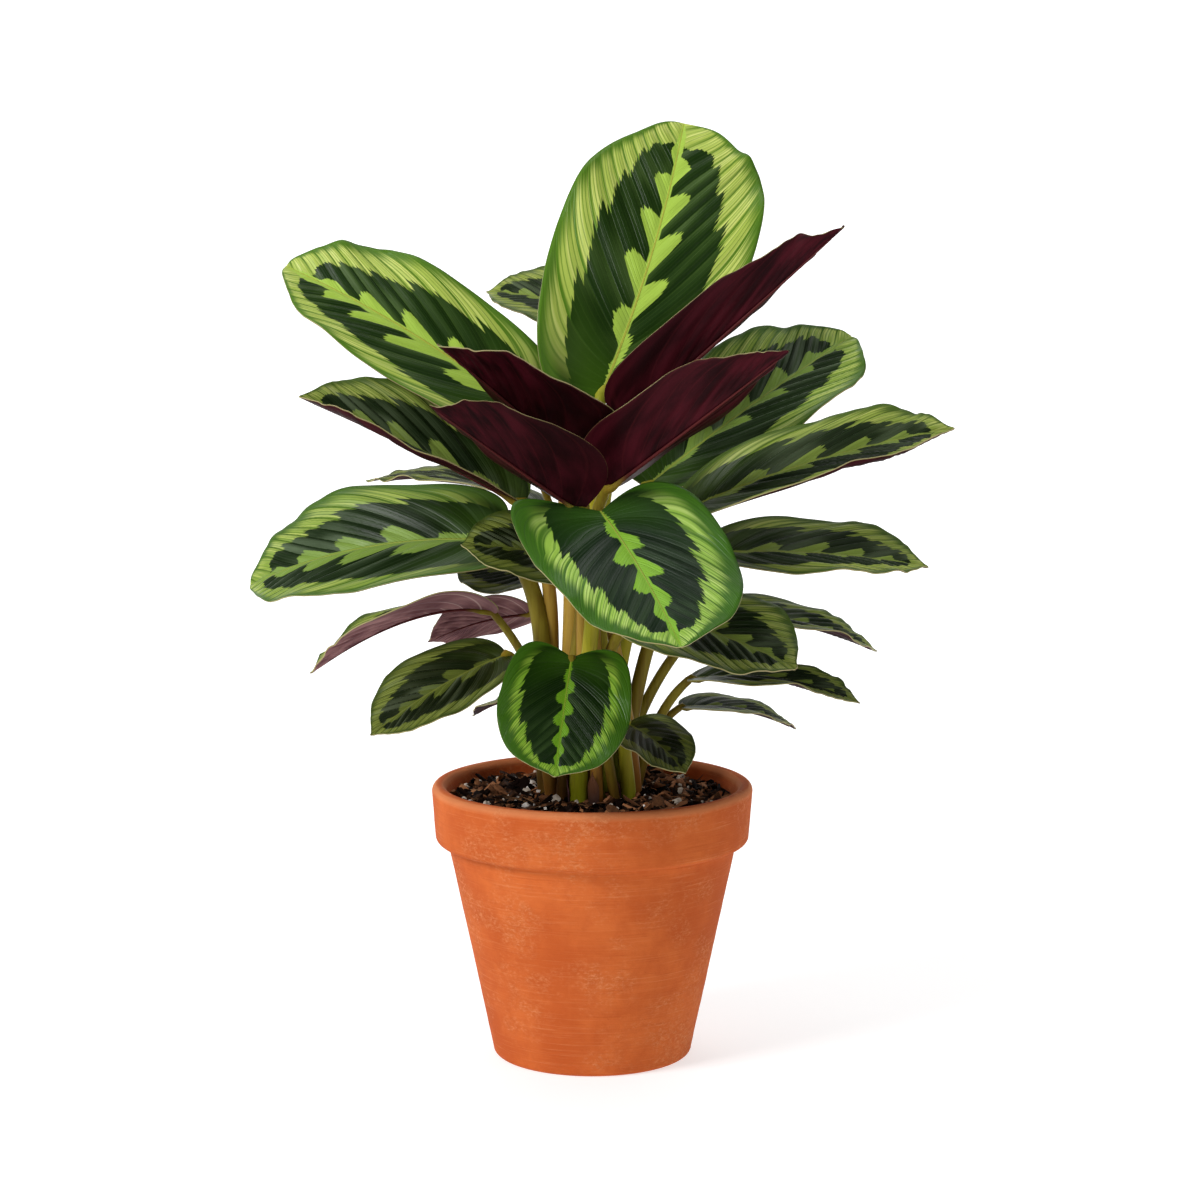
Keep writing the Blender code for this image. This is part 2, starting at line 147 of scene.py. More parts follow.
class Bench:
    """One material's node tree, and the few ways in which nodes are added to it."""

    def __init__(self, name: str) -> None:
        """Start a material with a Principled shader.

        Args:
            name: the material's name.
        """
        self.material = bpy.data.materials.new(name)
        self.material.use_nodes = True
        self.tree = self.material.node_tree
        self.shader = self.tree.nodes["Principled BSDF"]

    def node(
        self,
        kind: str,
        settings: dict[str, Any] | None = None,
        inputs: dict[str | int, Any] | None = None,
    ) -> bpy.types.Node:
        """Add a node.

        Args:
            kind: the node's type.
            settings: its properties, set first.
            inputs: values or links, by socket name or number.

        Returns:
            The node.
        """
        made = self.tree.nodes.new(kind)
        for key, value in (settings or {}).items():
            setattr(made, key, value)
        for key, value in (inputs or {}).items():
            self.feed(made.inputs[key], value)
        return made

    def feed(self, target: bpy.types.NodeSocket, value: Any) -> None:
        """Link or set one input socket.

        Args:
            target: the input.
            value: a Sock, a number, a colour or a vector.
        """
        if isinstance(value, Sock):
            self.tree.links.new(value.socket, target)
        elif target.type == "RGBA":
            target.default_value = (*value, 1.0)
        else:
            target.default_value = value

    def math(self, operation: str, first: Any, second: Any = None) -> Sock:
        """Add a Math node.

        Args:
            operation: the node's operation.
            first: first value.
            second: second value, if the operation takes one.

        Returns:
            The result.
        """
        inputs = {0: first} if second is None else {0: first, 1: second}
        made = self.node("ShaderNodeMath", {"operation": operation}, inputs)
        return Sock(self, made.outputs[0])

    def blend(self, share: Any, first: Any, second: Any) -> Sock:
        """Mix two colours, which a Mix node takes on its sockets 6 and 7.

        Args:
            share: 0 gives the first, 1 the second.
            first: a colour or a Sock.
            second: a colour or a Sock.

        Returns:
            The mixed colour.
        """
        made = self.node(
            "ShaderNodeMix", {"data_type": "RGBA"}, {0: share, 6: first, 7: second}
        )
        return Sock(self, made.outputs[2])

    def parts(self, vector: Sock) -> tuple[Sock, Sock, Sock]:
        """Split a vector.

        Args:
            vector: what is split.

        Returns:
            Its three parts.
        """
        made = self.node("ShaderNodeSeparateXYZ", None, {0: vector})
        return tuple(Sock(self, made.outputs[axis]) for axis in range(3))

    def join(self, x: Any, y: Any, z: Any = 0.0) -> Sock:
        """Make a vector.

        Args:
            x: first part.
            y: second part.
            z: third part.

        Returns:
            The vector.
        """
        made = self.node("ShaderNodeCombineXYZ", None, {0: x, 1: y, 2: z})
        return Sock(self, made.outputs[0])

    def place(self) -> Sock:
        """Object coordinates, in metres."""
        return Sock(self, self.node("ShaderNodeTexCoord").outputs["Object"])

    def map(self, name: str) -> tuple[Sock, Sock, Sock]:
        """Parts of one of the piece's own UV maps."""
        made = self.node("ShaderNodeUVMap", {"uv_map": name})
        return self.parts(Sock(self, made.outputs[0]))

    def attribute(self, name: str) -> Sock:
        """A number kept on the piece's points."""
        made = self.node("ShaderNodeAttribute", {"attribute_name": name})
        return Sock(self, made.outputs["Fac"])

    def cloud(self, vector: Sock, scale: float, detail: float = 2.0, rough: float = 0.5) -> Sock:
        """Soft noise.

        Args:
            vector: where it is read.
            scale: its fineness.
            detail: octaves.
            rough: how strong the fine octaves are.

        Returns:
            A value about 0.5.
        """
        inputs = {"Vector": vector, "Scale": scale, "Detail": detail, "Roughness": rough}
        made = self.node("ShaderNodeTexNoise", None, inputs)
        return Sock(self, made.outputs[0])

    def stretch(self, vector: Sock, scale: tuple[float, float, float]) -> Sock:
        """Scale a vector by axis.

        Args:
            vector: what is scaled.
            scale: the three factors.

        Returns:
            The scaled vector.
        """
        made = self.node(
            "ShaderNodeVectorMath", {"operation": "MULTIPLY"}, {0: vector, 1: scale}
        )
        return Sock(self, made.outputs[0])

    def finish(
        self, colour: Any, roughness: Any, relief: Sock | None = None, depth: float = 0.0005
    ) -> bpy.types.Material:
        """Feed the shader.

        Args:
            colour: the base colour.
            roughness: the roughness.
            relief: height that is turned into bumps, if any.
            depth: how far a height of 1 stands out, in metres.

        Returns:
            The material.
        """
        self.feed(self.shader.inputs["Base Color"], colour)
        self.feed(self.shader.inputs["Roughness"], roughness)
        if relief is not None:
            bump = self.node("ShaderNodeBump", None, {"Height": relief, "Distance": depth})
            self.tree.links.new(bump.outputs["Normal"], self.shader.inputs["Normal"])
        return self.material

    def gloss(self, level: float) -> None:
        """Set the specular level."""
        self.shader.inputs["Specular IOR Level"].default_value = level


# ---- finishes -------------------------------------------------------------------------
@dataclass(frozen=True)
class Palette:
    """Colours of a blade's top.

    Attributes:
        dark: the deep zone on both sides of the midrib.
        vein: the lighter lines in that zone, and its painted sheen.
        feather: the blotches along the midrib.
        band: the pale ring near the edge.
        light: the palest streaks of the ring.
        margin: the green outside the ring.
        midrib: the thin line along the middle.
    """

    dark: Colour
    vein: Colour
    feather: Colour
    band: Colour
    light: Colour
    margin: Colour
    midrib: Colour


@dataclass(frozen=True)
class Marks:
    """How a look's pattern is laid out.

    Attributes:
        blotches: blotches on each side of the midrib.
        reach: how far they reach towards the edge.
        start: where the pale ring starts, from midrib to edge.
        end: where it ends.
        flame: how far the solid mark at the tip reaches towards the edge.
        spine: how wide the pale stripe along the midrib grows.
        bloom_and_sheen: how strongly the painted sheen shows along the ribs.
    """

    blotches: float = 5.5
    reach: float = 0.26
    start: float = 0.59
    end: float = 0.97
    flame: float = 0.12
    spine: float = 0.020
    bloom_and_sheen: float = 0.22


@dataclass(frozen=True)
class Spot:
    """Where a spot is on a blade, and how uneven the blade is there.

    Attributes:
        along: which vein, 0 at the base and 1 at the tip.
        out: place on the vein, 0 at the midrib and 1 at the edge.
        side: which half, 0 or 1.
        count: number of the rib, with its fraction.
        beat: place between two ribs, 0 to 1.
        line: fine lines between the ribs.
        drift: slow unevenness.
        thread: unevenness along the veins.
        fine: fine threads along the veins.
        shade: broad shades along the veins.
        gleam: broader ones still.
    """

    along: Sock
    out: Sock
    side: Sock
    count: Sock
    beat: Sock
    line: Sock
    drift: Sock
    thread: Sock
    fine: Sock
    shade: Sock
    gleam: Sock

    @classmethod
    def read(cls, bench: Bench) -> Spot:
        """Work the spot out from the blade's own map of its veins.

        Args:
            bench: the material.

        Returns:
            The spot.
        """
        along, across, _ = bench.map("veins")
        out = abs(across * 2.0 - 1.0)
        side = across.over(0.5)
        count = along * RIBS + side * RIB_SHIFT
        drift = bench.cloud(bench.place(), 14.0, 1.0) - 0.5
        thread = bench.join(along * 85.0 + side * 13.0, out * 0.7)
        fine = bench.join(along * 260.0 + side * 31.0, out * 1.1)
        shade = bench.join(along * 11.0 + side * 5.0, out * 1.6)
        gleam = bench.join(along * 5.0 + side * 9.0, out * 1.2)
        return cls(
            along=along,
            out=out,
            side=side,
            count=count,
            beat=count.fract(),
            line=abs((along * RIBS * 5.0 + drift * 1.2).fract() - 0.5).ease(0.30, 0.48),
            drift=drift,
            thread=bench.cloud(thread, 1.0, 2.0) - 0.5,
            fine=bench.cloud(fine, 1.0, 2.0, 0.6),
            shade=bench.cloud(shade, 1.0, 2.0),
            gleam=bench.cloud(gleam, 1.0, 1.0),
        )


@dataclass(frozen=True)
class BladeTop:
    """Patterned top of a blade, laid out along its veins.

    Attributes:
        name: the material's name.
        palette: its colours.
        marks: the layout of its pattern.
        painted_rib_sheen: colour of the painted sheen on its ribs.
        gloss: its specular level.
        depth: height of its finest relief, in metres.
    """

    name: str
    palette: Palette
    marks: Marks
    painted_rib_sheen: Colour = (0.20, 0.25, 0.17)
    gloss: float = 0.13
    depth: float = 0.00022

    def make(self) -> bpy.types.Material:
        """Build the material."""
        bench = Bench(self.name)
        spot = Spot.read(bench)
        palette = self.palette
        crease = 1.0 - abs(spot.beat - 0.5).ease(0.50, 0.44)
        base = self.deep(bench, spot, crease)
        base = bench.blend(self.ring(bench, spot), base, self.pale(bench, spot))
        tongue = bench.blend(spot.fine.ease(0.48, 0.80) * 0.30, palette.feather, palette.margin)
        base = bench.blend(self.feather(bench, spot), base, tongue)
        # Painted sheen: pale grey-green streaks along the ribs, standing in for the top's reflection of
        # the bright surroundings.
        bloom_and_sheen = spot.beat.ease(0.15, 0.85) * spot.gleam.ease(0.44, 0.68)
        bloom_and_sheen = bloom_and_sheen * (1.0 - spot.out.ease(0.9, 1.0)) * self.marks.bloom_and_sheen
        base = bench.blend(bloom_and_sheen, base, self.painted_rib_sheen)
        _, lateral, _ = bench.map("lay")
        width = 0.0052 - spot.along * 0.0036
        midrib = 1.0 - abs(lateral - 0.5).ease(width * 0.6, width)
        base = bench.blend(midrib, base, palette.midrib)

        relief = spot.fine * 0.35 - spot.line * 0.35 - crease * 0.5 + midrib * 0.8
        bench.gloss(self.gloss)
        return bench.finish(base, 0.25 + spot.shade * 0.16, relief, self.depth)

    def deep(self, bench: Bench, spot: Spot, crease: Sock) -> Sock:
        """Colour of the deep zone, with a painted sheen between the ribs, which turns into the margin's
        green at the edge.

        Args:
            bench: the material.
            spot: the place on the blade.
            crease: 1 on a rib.

        Returns:
            The colour.
        """
        palette = self.palette
        # Painted sheen: broad paler streaks between the ribs, in the vein colour.
        sheen = spot.beat.ease(0.05, 0.95) * spot.gleam.ease(0.35, 0.65) * 0.8
        sheen = sheen + spot.shade.ease(0.5, 0.8) * 0.4
        dark = bench.blend(sheen, palette.dark, palette.vein)
        ribs = spot.line * 0.15 + crease * spot.gleam.ease(0.3, 0.6) * 0.7
        dark = bench.blend(ribs, dark, palette.vein)
        young = (1.0 - spot.along.ease(0.0, 0.20)) * (1.0 - spot.out.ease(0.2, 0.9)) * 0.5
        dark = bench.blend(young, dark, palette.margin)
        margin = bench.blend(spot.fine.ease(0.40, 0.75) * 0.5, palette.margin, palette.vein)
        return bench.blend(spot.out.ease(self.marks.start + 0.10, 0.87), dark, margin)

    def pale(self, bench: Bench, spot: Spot) -> Sock:
        """Colour of the pale ring, with green lines between its ribs.

        Args:
            bench: the material.
            spot: the place on the blade.

        Returns:
            The colour.
        """
        palette = self.palette
        streak = (spot.thread * 2.2 + spot.shade).ease(0.30, 0.95)
        pale = bench.blend(streak, palette.band, palette.light)
        valley = 1.0 - abs(spot.beat - 0.07).ease(0.02, 0.10)
        green = spot.line * (spot.fine.ease(0.30, 0.55) * 0.55 + 0.35) + valley * 1.1
        return bench.blend(green * (0.40 + spot.out * 0.60), pale, palette.margin)

    def feather(self, bench: Bench, spot: Spot) -> Sock:
        """Mask of the fan-shaped blotches, which alternate along the midrib.

        Args:
            bench: the material.
            spot: the place on the blade.

        Returns:
            1 on a blotch.
        """
        along, marks = spot.along, self.marks
        beat = (along * marks.blotches + spot.side * 0.5 + spot.drift * 0.25).fract()
        reach = along.ease(0.02, 0.36) * (1.0 - along.ease(0.70, 1.0) * 0.6)
        reach = reach * (marks.reach + spot.drift * 0.12)
        bend = bench.math("MAXIMUM", beat - 0.13, 0.0) * 1.60
        fall = bench.math("MAXIMUM", 1.0 - bend * bend, 0.0) * beat.ease(0.0, 0.13)
        end = fall * reach + 0.020 + along * marks.spine
        end = end + spot.thread * 0.15 * fall.ease(0.0, 0.4)
        body = 1.0 - spot.out.ease(end - 0.008, end + 0.008)
        flame = along.ease(0.78, 0.92) * marks.flame + spot.thread * 0.10
        tip = along.over(0.78) * (1.0 - spot.out.ease(flame - 0.01, flame + 0.01))
        return bench.math("MAXIMUM", body, tip)

    def ring(self, bench: Bench, spot: Spot) -> Sock:
        """Mask of the pale ring, its inner edge toothed along the veins.

        Args:
            bench: the material.
            spot: the place on the blade.

        Returns:
            1 on the ring.
        """
        along, out, beat = spot.along, spot.out, spot.beat
        group = (spot.count - beat) * 0.37 + spot.side * 7.0 + 0.5
        uneven = bench.cloud(bench.join(group, 0.5), 1.0, 0.0) - 0.5
        small = (along * RIBS * 4.0 + spot.drift * 1.2).fract()
        pair = (spot.count * 0.5 + 0.1).fract()
        start = self.marks.start - along.ease(0.76, 0.95) * 0.58 + pair * 0.095 + beat * 0.030
        start = start + small * 0.042 + spot.thread * 0.06 + spot.drift * 0.08 + uneven * 0.10
        end = self.marks.end - beat * 0.06 + spot.thread * 0.12 + spot.drift * 0.08
        ring = out.ease(start - 0.008, start + 0.008) * (1.0 - out.ease(end - 0.10, end + 0.03))
        return ring * along.ease(0.008, 0.075)


class Look(Enum):
    """The tops that the blades of this plant have."""

    BRIGHT = BladeTop(
        "blade_top_bright",
        Palette(
            dark=(0.008, 0.026, 0.002), vein=(0.050, 0.096, 0.016), feather=(0.36, 0.53, 0.070),
            band=(0.37, 0.47, 0.080), light=(0.57, 0.63, 0.17), margin=(0.080, 0.185, 0.012),
            midrib=(0.40, 0.42, 0.055),
        ),
        Marks(blotches=6.0, reach=0.245, start=0.55, bloom_and_sheen=0.06),
    )
    FRESH = BladeTop(
        "blade_top_fresh",
        Palette(
            dark=(0.007, 0.018, 0.003), vein=(0.065, 0.100, 0.045), feather=(0.20, 0.31, 0.055),
            band=(0.22, 0.32, 0.050), light=(0.42, 0.50, 0.12), margin=(0.062, 0.140, 0.013),
            midrib=(0.30, 0.36, 0.060),
        ),
        Marks(reach=0.25, start=0.58),
    )
    BLUE = BladeTop(
        "blade_top_blue",
        Palette(
            dark=(0.004, 0.014, 0.004), vein=(0.022, 0.045, 0.016), feather=(0.20, 0.40, 0.030),
            band=(0.26, 0.43, 0.060), light=(0.46, 0.62, 0.16), margin=(0.045, 0.130, 0.010),
            midrib=(0.28, 0.33, 0.040),
        ),
        Marks(
            blotches=5.0, reach=0.18, start=0.55, end=0.89, flame=0.24, spine=0.045, bloom_and_sheen=0.04
        ),
    )
    # Painted shade: a darker copy of the blue top, with less blue, for a leaf that hangs low in shade.
    SHADED_BLUE = BladeTop(
        "blade_top_shaded_blue",
        Palette(
            dark=(0.004, 0.014, 0.0015), vein=(0.018, 0.042, 0.006), feather=(0.12, 0.27, 0.011),
            band=(0.15, 0.29, 0.022), light=(0.28, 0.42, 0.052), margin=(0.036, 0.105, 0.005),
            midrib=(0.22, 0.28, 0.024),
        ),
        Marks(reach=0.13, start=0.57, end=0.87, flame=0.16, spine=0.030, bloom_and_sheen=0.03),
    )
    MIDDLE = BladeTop(
        "blade_top_middle",
        Palette(
            dark=(0.007, 0.017, 0.003), vein=(0.060, 0.085, 0.034), feather=(0.21, 0.29, 0.050),
            band=(0.24, 0.315, 0.052), light=(0.42, 0.46, 0.115), margin=(0.068, 0.120, 0.014),
            midrib=(0.27, 0.31, 0.055),
        ),
        Marks(),
    )
    OLIVE = BladeTop(
        "blade_top_olive",
        Palette(
            dark=(0.006, 0.012, 0.002), vein=(0.042, 0.052, 0.018), feather=(0.11, 0.14, 0.022),
            band=(0.14, 0.17, 0.028), light=(0.24, 0.28, 0.055), margin=(0.050, 0.078, 0.008),
            midrib=(0.20, 0.22, 0.040),
        ),
        Marks(reach=0.21, start=0.57),
    )


@dataclass(frozen=True)
class BladeUnder:
    """Plain underside with paler ribs and painted shade in the valleys beside them.

    Attributes:
        name: the material's name.
        colour: the skin.
        shadow: its darker clouds, and the painted shade in the valleys.
        rib: the ribs.
        ribs_and_valley_shade: how strongly the ribs show, and how dark the painted shade in their
            valleys is.
        edge: the browned edge.
        gloss: its specular level.
        depth: height of its finest relief, in metres.
    """

    name: str
    colour: Colour
    shadow: Colour
    rib: Colour
    ribs_and_valley_shade: float
    edge: Colour = (0.20, 0.12, 0.05)
    gloss: float = 0.06
    depth: float = 0.00020

    def make(self) -> bpy.types.Material:
        """Build the material."""
        bench = Bench(self.name)
        along, across, _ = bench.map("veins")
        out = abs(across * 2.0 - 1.0)
        side = across.over(0.5)
        cloud = bench.cloud(bench.join(along * 9.0 + side * 4.0, out * 2.0), 1.0, 3.0)
        fine = bench.cloud(bench.join(along * 190.0, out * 3.0), 1.0, 2.0)
        beat = (along * RIBS + side * RIB_SHIFT).fract()
        line = 1.0 - abs(beat - 0.5).ease(0.01, 0.07)
        base = bench.blend(cloud.ease(0.32, 0.72), self.shadow, self.colour)
        # Painted shade: the valley beside each rib is darkened towards the shadow colour.
        valley = (1.0 - abs(beat - 0.1).ease(0.0, 0.30)) * self.ribs_and_valley_shade
        base = bench.blend(valley, base, self.shadow)
        line = line * (0.15 + self.ribs_and_valley_shade * 0.5)
        base = bench.blend(line + fine.ease(0.5, 0.8) * 0.08, base, self.rib)
        base = bench.blend(out.ease(0.985, 1.0) * 0.5, base, self.edge)
        bench.gloss(self.gloss)
        return bench.finish(base, 0.40 + cloud * 0.16, line * 0.6 + fine * 0.2, self.depth)


class Under(Enum):
    """The undersides that the blades of this plant have."""

    MAROON = BladeUnder(
        "blade_under_maroon",
        colour=(0.050, 0.0040, 0.0085), shadow=(0.011, 0.0010, 0.002), rib=(0.08, 0.009, 0.012),
        ribs_and_valley_shade=0.1,
    )
    # Painted light: the maroon underside as it looks with light coming through it from behind, pale
    # mauve with paler ribs.
    LIT_MAUVE = BladeUnder(
        "blade_under_lit_mauve",
        colour=(0.36, 0.19, 0.19), shadow=(0.13, 0.055, 0.062), rib=(0.62, 0.46, 0.42),
        ribs_and_valley_shade=0.6,
    )


@dataclass(frozen=True)
class BladeRim:
    """Thin pale edge of a blade.

    Attributes:
        name: the material's name.
        fresh: its colour where it is green.
        dry: its colour where it has browned.
    """

    name: str = "blade_rim"
    fresh: Colour = (0.30, 0.32, 0.10)
    dry: Colour = (0.36, 0.26, 0.13)

    def make(self) -> bpy.types.Material:
        """Build the material."""
        bench = Bench(self.name)
        tone = bench.cloud(bench.place(), 160.0)
        return bench.finish(bench.blend(tone, self.fresh, self.dry), 0.5)


@dataclass(frozen=True)
class StalkFinish:
    """Skin of a petiole, from its foot to the end of the midrib.

    Attributes:
        name: the material's name.
        foot: colour at the soil.
        shaft: colour of the long middle.
        top: colour just under the blade.
        rib: colour along the blade's underside.
        fleck: fine dark flecks.
        gloss: its specular level.
        depth: height of its finest relief, in metres.
    """

    name: str
    foot: Colour
    shaft: Colour
    top: Colour
    rib: Colour = (0.075, 0.012, 0.012)
    fleck: Colour = (0.10, 0.07, 0.012)
    gloss: float = 0.10
    depth: float = 0.00025

    def make(self) -> bpy.types.Material:
        """Build the material."""
        bench = Bench(self.name)
        along = bench.attribute("along")
        place = bench.place()
        grain = bench.cloud(bench.stretch(place, (1.0, 1.0, 0.05)), 700.0, 2.0)
        stripe = bench.cloud(bench.stretch(place, (1.0, 1.0, 0.08)), 260.0, 2.0)
        mottle = bench.cloud(place, 60.0, 3.0)
        tone = bench.blend((along + mottle * 0.3 - 0.12).ease(0.0, 0.34), self.foot, self.shaft)
        tone = bench.blend(along.ease(0.72, 0.98), tone, self.top)
        tone = bench.blend(along.ease(1.02, 1.15), tone, self.rib)
        bare = 1.0 - along.ease(1.0, 1.1)
        tone = bench.blend(stripe.ease(0.42, 0.66) * bare * 0.45, tone, self.foot)
        tone = bench.blend(grain.ease(0.50, 0.80) * bare * 0.30, tone, self.fleck)
        bench.gloss(self.gloss)
        return bench.finish(tone, 0.34 + mottle * 0.2, grain, self.depth)


class Tone(Enum):
    """The petioles that this plant has."""

    YELLOW = StalkFinish(
        "stalk_yellow", (0.20, 0.22, 0.006), (0.33, 0.29, 0.020), (0.33, 0.32, 0.030)
    )
    TAN = StalkFinish(
        "stalk_tan", (0.22, 0.080, 0.014), (0.36, 0.225, 0.036), (0.27, 0.21, 0.018)
    )
    OLIVE = StalkFinish(
        "stalk_olive", (0.085, 0.030, 0.005), (0.22, 0.175, 0.018), (0.20, 0.165, 0.014)
    )


@dataclass(frozen=True)
class SheathFinish:
    """Papery sheath round a petiole's foot.

    Attributes:
        name: the material's name.
        foot: colour low down.
        lip: colour at the free edge.
        depth: height of its finest relief, in metres.
    """

    name: str
    foot: Colour
    lip: Colour
    depth: float = 0.0003

    def make(self) -> bpy.types.Material:
        """Build the material."""
        bench = Bench(self.name)
        rise, around, _ = bench.map("veins")
        line = bench.cloud(bench.join(rise * 1.5, around * 40.0), 1.0, 2.0)
        tone = bench.blend((rise + line * 0.3 - 0.15).ease(0.1, 0.8), self.foot, self.lip)
        tone = bench.blend(line.ease(0.5, 0.8) * 0.5, tone, self.foot)
        return bench.finish(tone, 0.5 + line * 0.15, line, self.depth)


class Wrapping(Enum):
    """The sheaths that this plant has."""

    WINE = SheathFinish("sheath_wine", (0.016, 0.002, 0.002), (0.075, 0.010, 0.009))
    RUST = SheathFinish("sheath_rust", (0.030, 0.008, 0.004), (0.16, 0.055, 0.018))


@dataclass(frozen=True)
class FiredClay:
    """Unglazed terracotta with mottling, scuffs, pale salts and a painted highlight round the lip.

    Attributes:
        name: the material's name.
        body: the clay.
        deep: its darker clouds.
        bloom_and_sheen: pale salts and scuffs, and the painted highlight round the lip.
        gloss: its specular level.
        depth: height of its finest relief, in metres.
    """

    name: str = "fired_clay"
    body: Colour = (0.58, 0.132, 0.030)
    deep: Colour = (0.47, 0.090, 0.019)
    bloom_and_sheen: Colour = (0.70, 0.27, 0.11)
    gloss: float = 0.10
    depth: float = 0.00045

    def make(self) -> bpy.types.Material:
        """Build the material."""
        bench = Bench(self.name)
        place = bench.place()
        _, _, height = bench.parts(place)
        cloud = bench.cloud(place, 20.0, 5.0, 0.62)
        wheel = bench.cloud(bench.stretch(place, (30.0, 30.0, 1700.0)), 1.0, 4.0, 0.7)
        swirl = bench.cloud(bench.stretch(place, (16.0, 16.0, 150.0)), 1.0, 4.0, 0.65)
        dusty = bench.cloud(place, 34.0, 5.0, 0.72)
        dust = bench.cloud(bench.stretch(place, (1.0, 1.0, 1.8)), 420.0, 4.0, 0.8)
        blot = bench.cloud(place, 120.0, 4.0, 0.7)
        grain = bench.cloud(place, 1100.0, 3.0, 0.7)
        tone = bench.blend(cloud.ease(0.36, 0.64), self.deep, self.body)
        tone = bench.blend(blot.ease(0.46, 0.66) * 0.40, tone, self.deep)
        tone = bench.blend(swirl.ease(0.46, 0.70) * 0.35, tone, self.deep)
        tone = bench.blend(wheel.ease(0.54, 0.74) * 0.40, tone, self.bloom_and_sheen)
        tone = bench.blend(1.0 - wheel.ease(0.28, 0.44), tone, self.deep)
        salt = dusty.ease(0.46, 0.66) * dust.ease(0.44, 0.66)
        tone = bench.blend(salt * 0.60, tone, self.bloom_and_sheen)
        tone = bench.blend(dust.ease(0.70, 0.78) * 0.50, tone, self.bloom_and_sheen)
        # Painted highlight, partly wear: a paler band round the top of the lip, where light catches it.
        rise = height + (cloud - 0.5) * 0.002
        wear_and_highlight = rise.ease(0.1245, 0.1275) * (1.0 - rise.ease(0.1284, 0.1290)) * 0.55
        tone = bench.blend(wear_and_highlight, tone, self.bloom_and_sheen)
        bench.gloss(self.gloss)
        relief = grain * 0.4 + wheel * 0.5 + swirl * 0.5 + salt * 0.3
        return bench.finish(tone, 0.74 + grain * 0.2, relief, self.depth)


@dataclass(frozen=True)
class Grit:
    """Loose matter of the soil, its tone kept with each grain.

    Attributes:
        name: the material's name.
        low: the darkest grain.
        high: the palest grain.
        scale: fineness of the surface.
        gloss: its specular level.
        depth: height of its finest relief, in metres.
    """

    name: str
    low: Colour
    high: Colour
    scale: float
    gloss: float = 0.06
    depth: float = 0.0006

    def make(self) -> bpy.types.Material:
        """Build the material."""
        bench = Bench(self.name)
        tone = bench.attribute("tone")
        place = bench.place()
        grain = bench.cloud(place, self.scale, 3.0, 0.7)
        colour = bench.blend((tone + (grain - 0.5) * 0.5).ease(0.08, 1.0), self.low, self.high)
        bench.gloss(self.gloss)
        return bench.finish(colour, 0.78 + grain * 0.2, grain, self.depth)


class Loose(Enum):
    """What the soil is made of."""

    PEAT = Grit("peat", (0.004, 0.0014, 0.0007), (0.16, 0.066, 0.031), 700.0)
    BARK = Grit("bark_chips", (0.006, 0.0020, 0.0010), (0.36, 0.155, 0.068), 420.0)
    FIBRE = Grit("fibres", (0.05, 0.022, 0.010), (0.28, 0.15, 0.07), 700.0)
    PERLITE = Grit("perlite_grains", (0.60, 0.52, 0.43), (0.98, 0.95, 0.90), 900.0)


@dataclass(frozen=True)
class Paper:
    """Lit white sweep under and behind the pot.

    Attributes:
        name: the material's name.
        shade: its darkest part.
        white: its palest part.
        near: light that comes through it at the front.
        far: light that comes through it at the back.
        glow: how strongly it is lit from behind.
    """

    name: str = "sweep_paper"
    shade: Colour = (0.54, 0.54, 0.54)
    white: Colour = (0.56, 0.56, 0.56)
    near: Colour = (0.62, 0.62, 0.62)
    far: Colour = (1.0, 1.0, 1.0)
    glow: float = 1.0

    def make(self) -> bpy.types.Material:
        """Build the material."""
        bench = Bench(self.name)
        tone = bench.cloud(bench.place(), 3.0)
        _, depth, _ = bench.parts(bench.place())
        shine = bench.blend(depth.ease(0.1, 1.6), self.near, self.far)
        bench.feed(bench.shader.inputs["Emission Color"], shine)
        bench.feed(bench.shader.inputs["Emission Strength"], self.glow)
        return bench.finish(bench.blend(tone, self.shade, self.white), 0.9)


def make_all(*kinds: type[Enum]) -> dict[Enum, bpy.types.Material]:
    """Make the material of every member of some Enums.

    Args:
        kinds: Enums whose members hold finishes.

    Returns:
        The materials by member.
    """
    return {choice: choice.value.make() for kind in kinds for choice in kind}


# ---- mesh helpers ---------------------------------------------------------------------
def place_piece(
    name: str,
    shape: bmesh.types.BMesh,
    finishes: Iterable[bpy.types.Material],
    sharp_degrees: float | None = None,
) -> bpy.types.Object:
    """Put a finished shape in the scene.

    Args:
        name: the piece's name.
        shape: its geometry, freed here.
        finishes: its materials in slot order.
        sharp_degrees: edges over this angle stay sharp; none are where it is None.

    Returns:
        The piece.
    """
    mesh = bpy.data.meshes.new(name)
    shape.to_mesh(mesh)
    shape.free()
    mesh.shade_smooth()
    if sharp_degrees is not None:
        mesh.set_sharp_from_angle(angle=math.radians(sharp_degrees))
    for finish in finishes:
        mesh.materials.append(finish)
    piece = bpy.data.objects.new(name, mesh)
    bpy.context.collection.objects.link(piece)
    return piece


def attach(piece: bpy.types.Object, slot: str, *nodes: str) -> None:
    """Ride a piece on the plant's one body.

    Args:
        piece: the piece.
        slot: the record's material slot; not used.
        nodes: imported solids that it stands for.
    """
    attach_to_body(piece, "root")
    if nodes:
        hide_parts(*nodes)
    LOG.info("built %s", piece.name)


def ease(low: float, high: float, value: float) -> float:
    """Smooth step.

    Args:
        low: where it is 0.
        high: where it is 1.
        value: where it is read.

    Returns:
        The step.
    """
    share = min(max((value - low) / (high - low), 0.0), 1.0)
    return share * share * (3.0 - 2.0 * share)


def ripple(x: float, y: float) -> float:
    """Smooth seeded unevenness between -1 and 1."""
    return noise.noise(Vector((x, y, 3.7)))


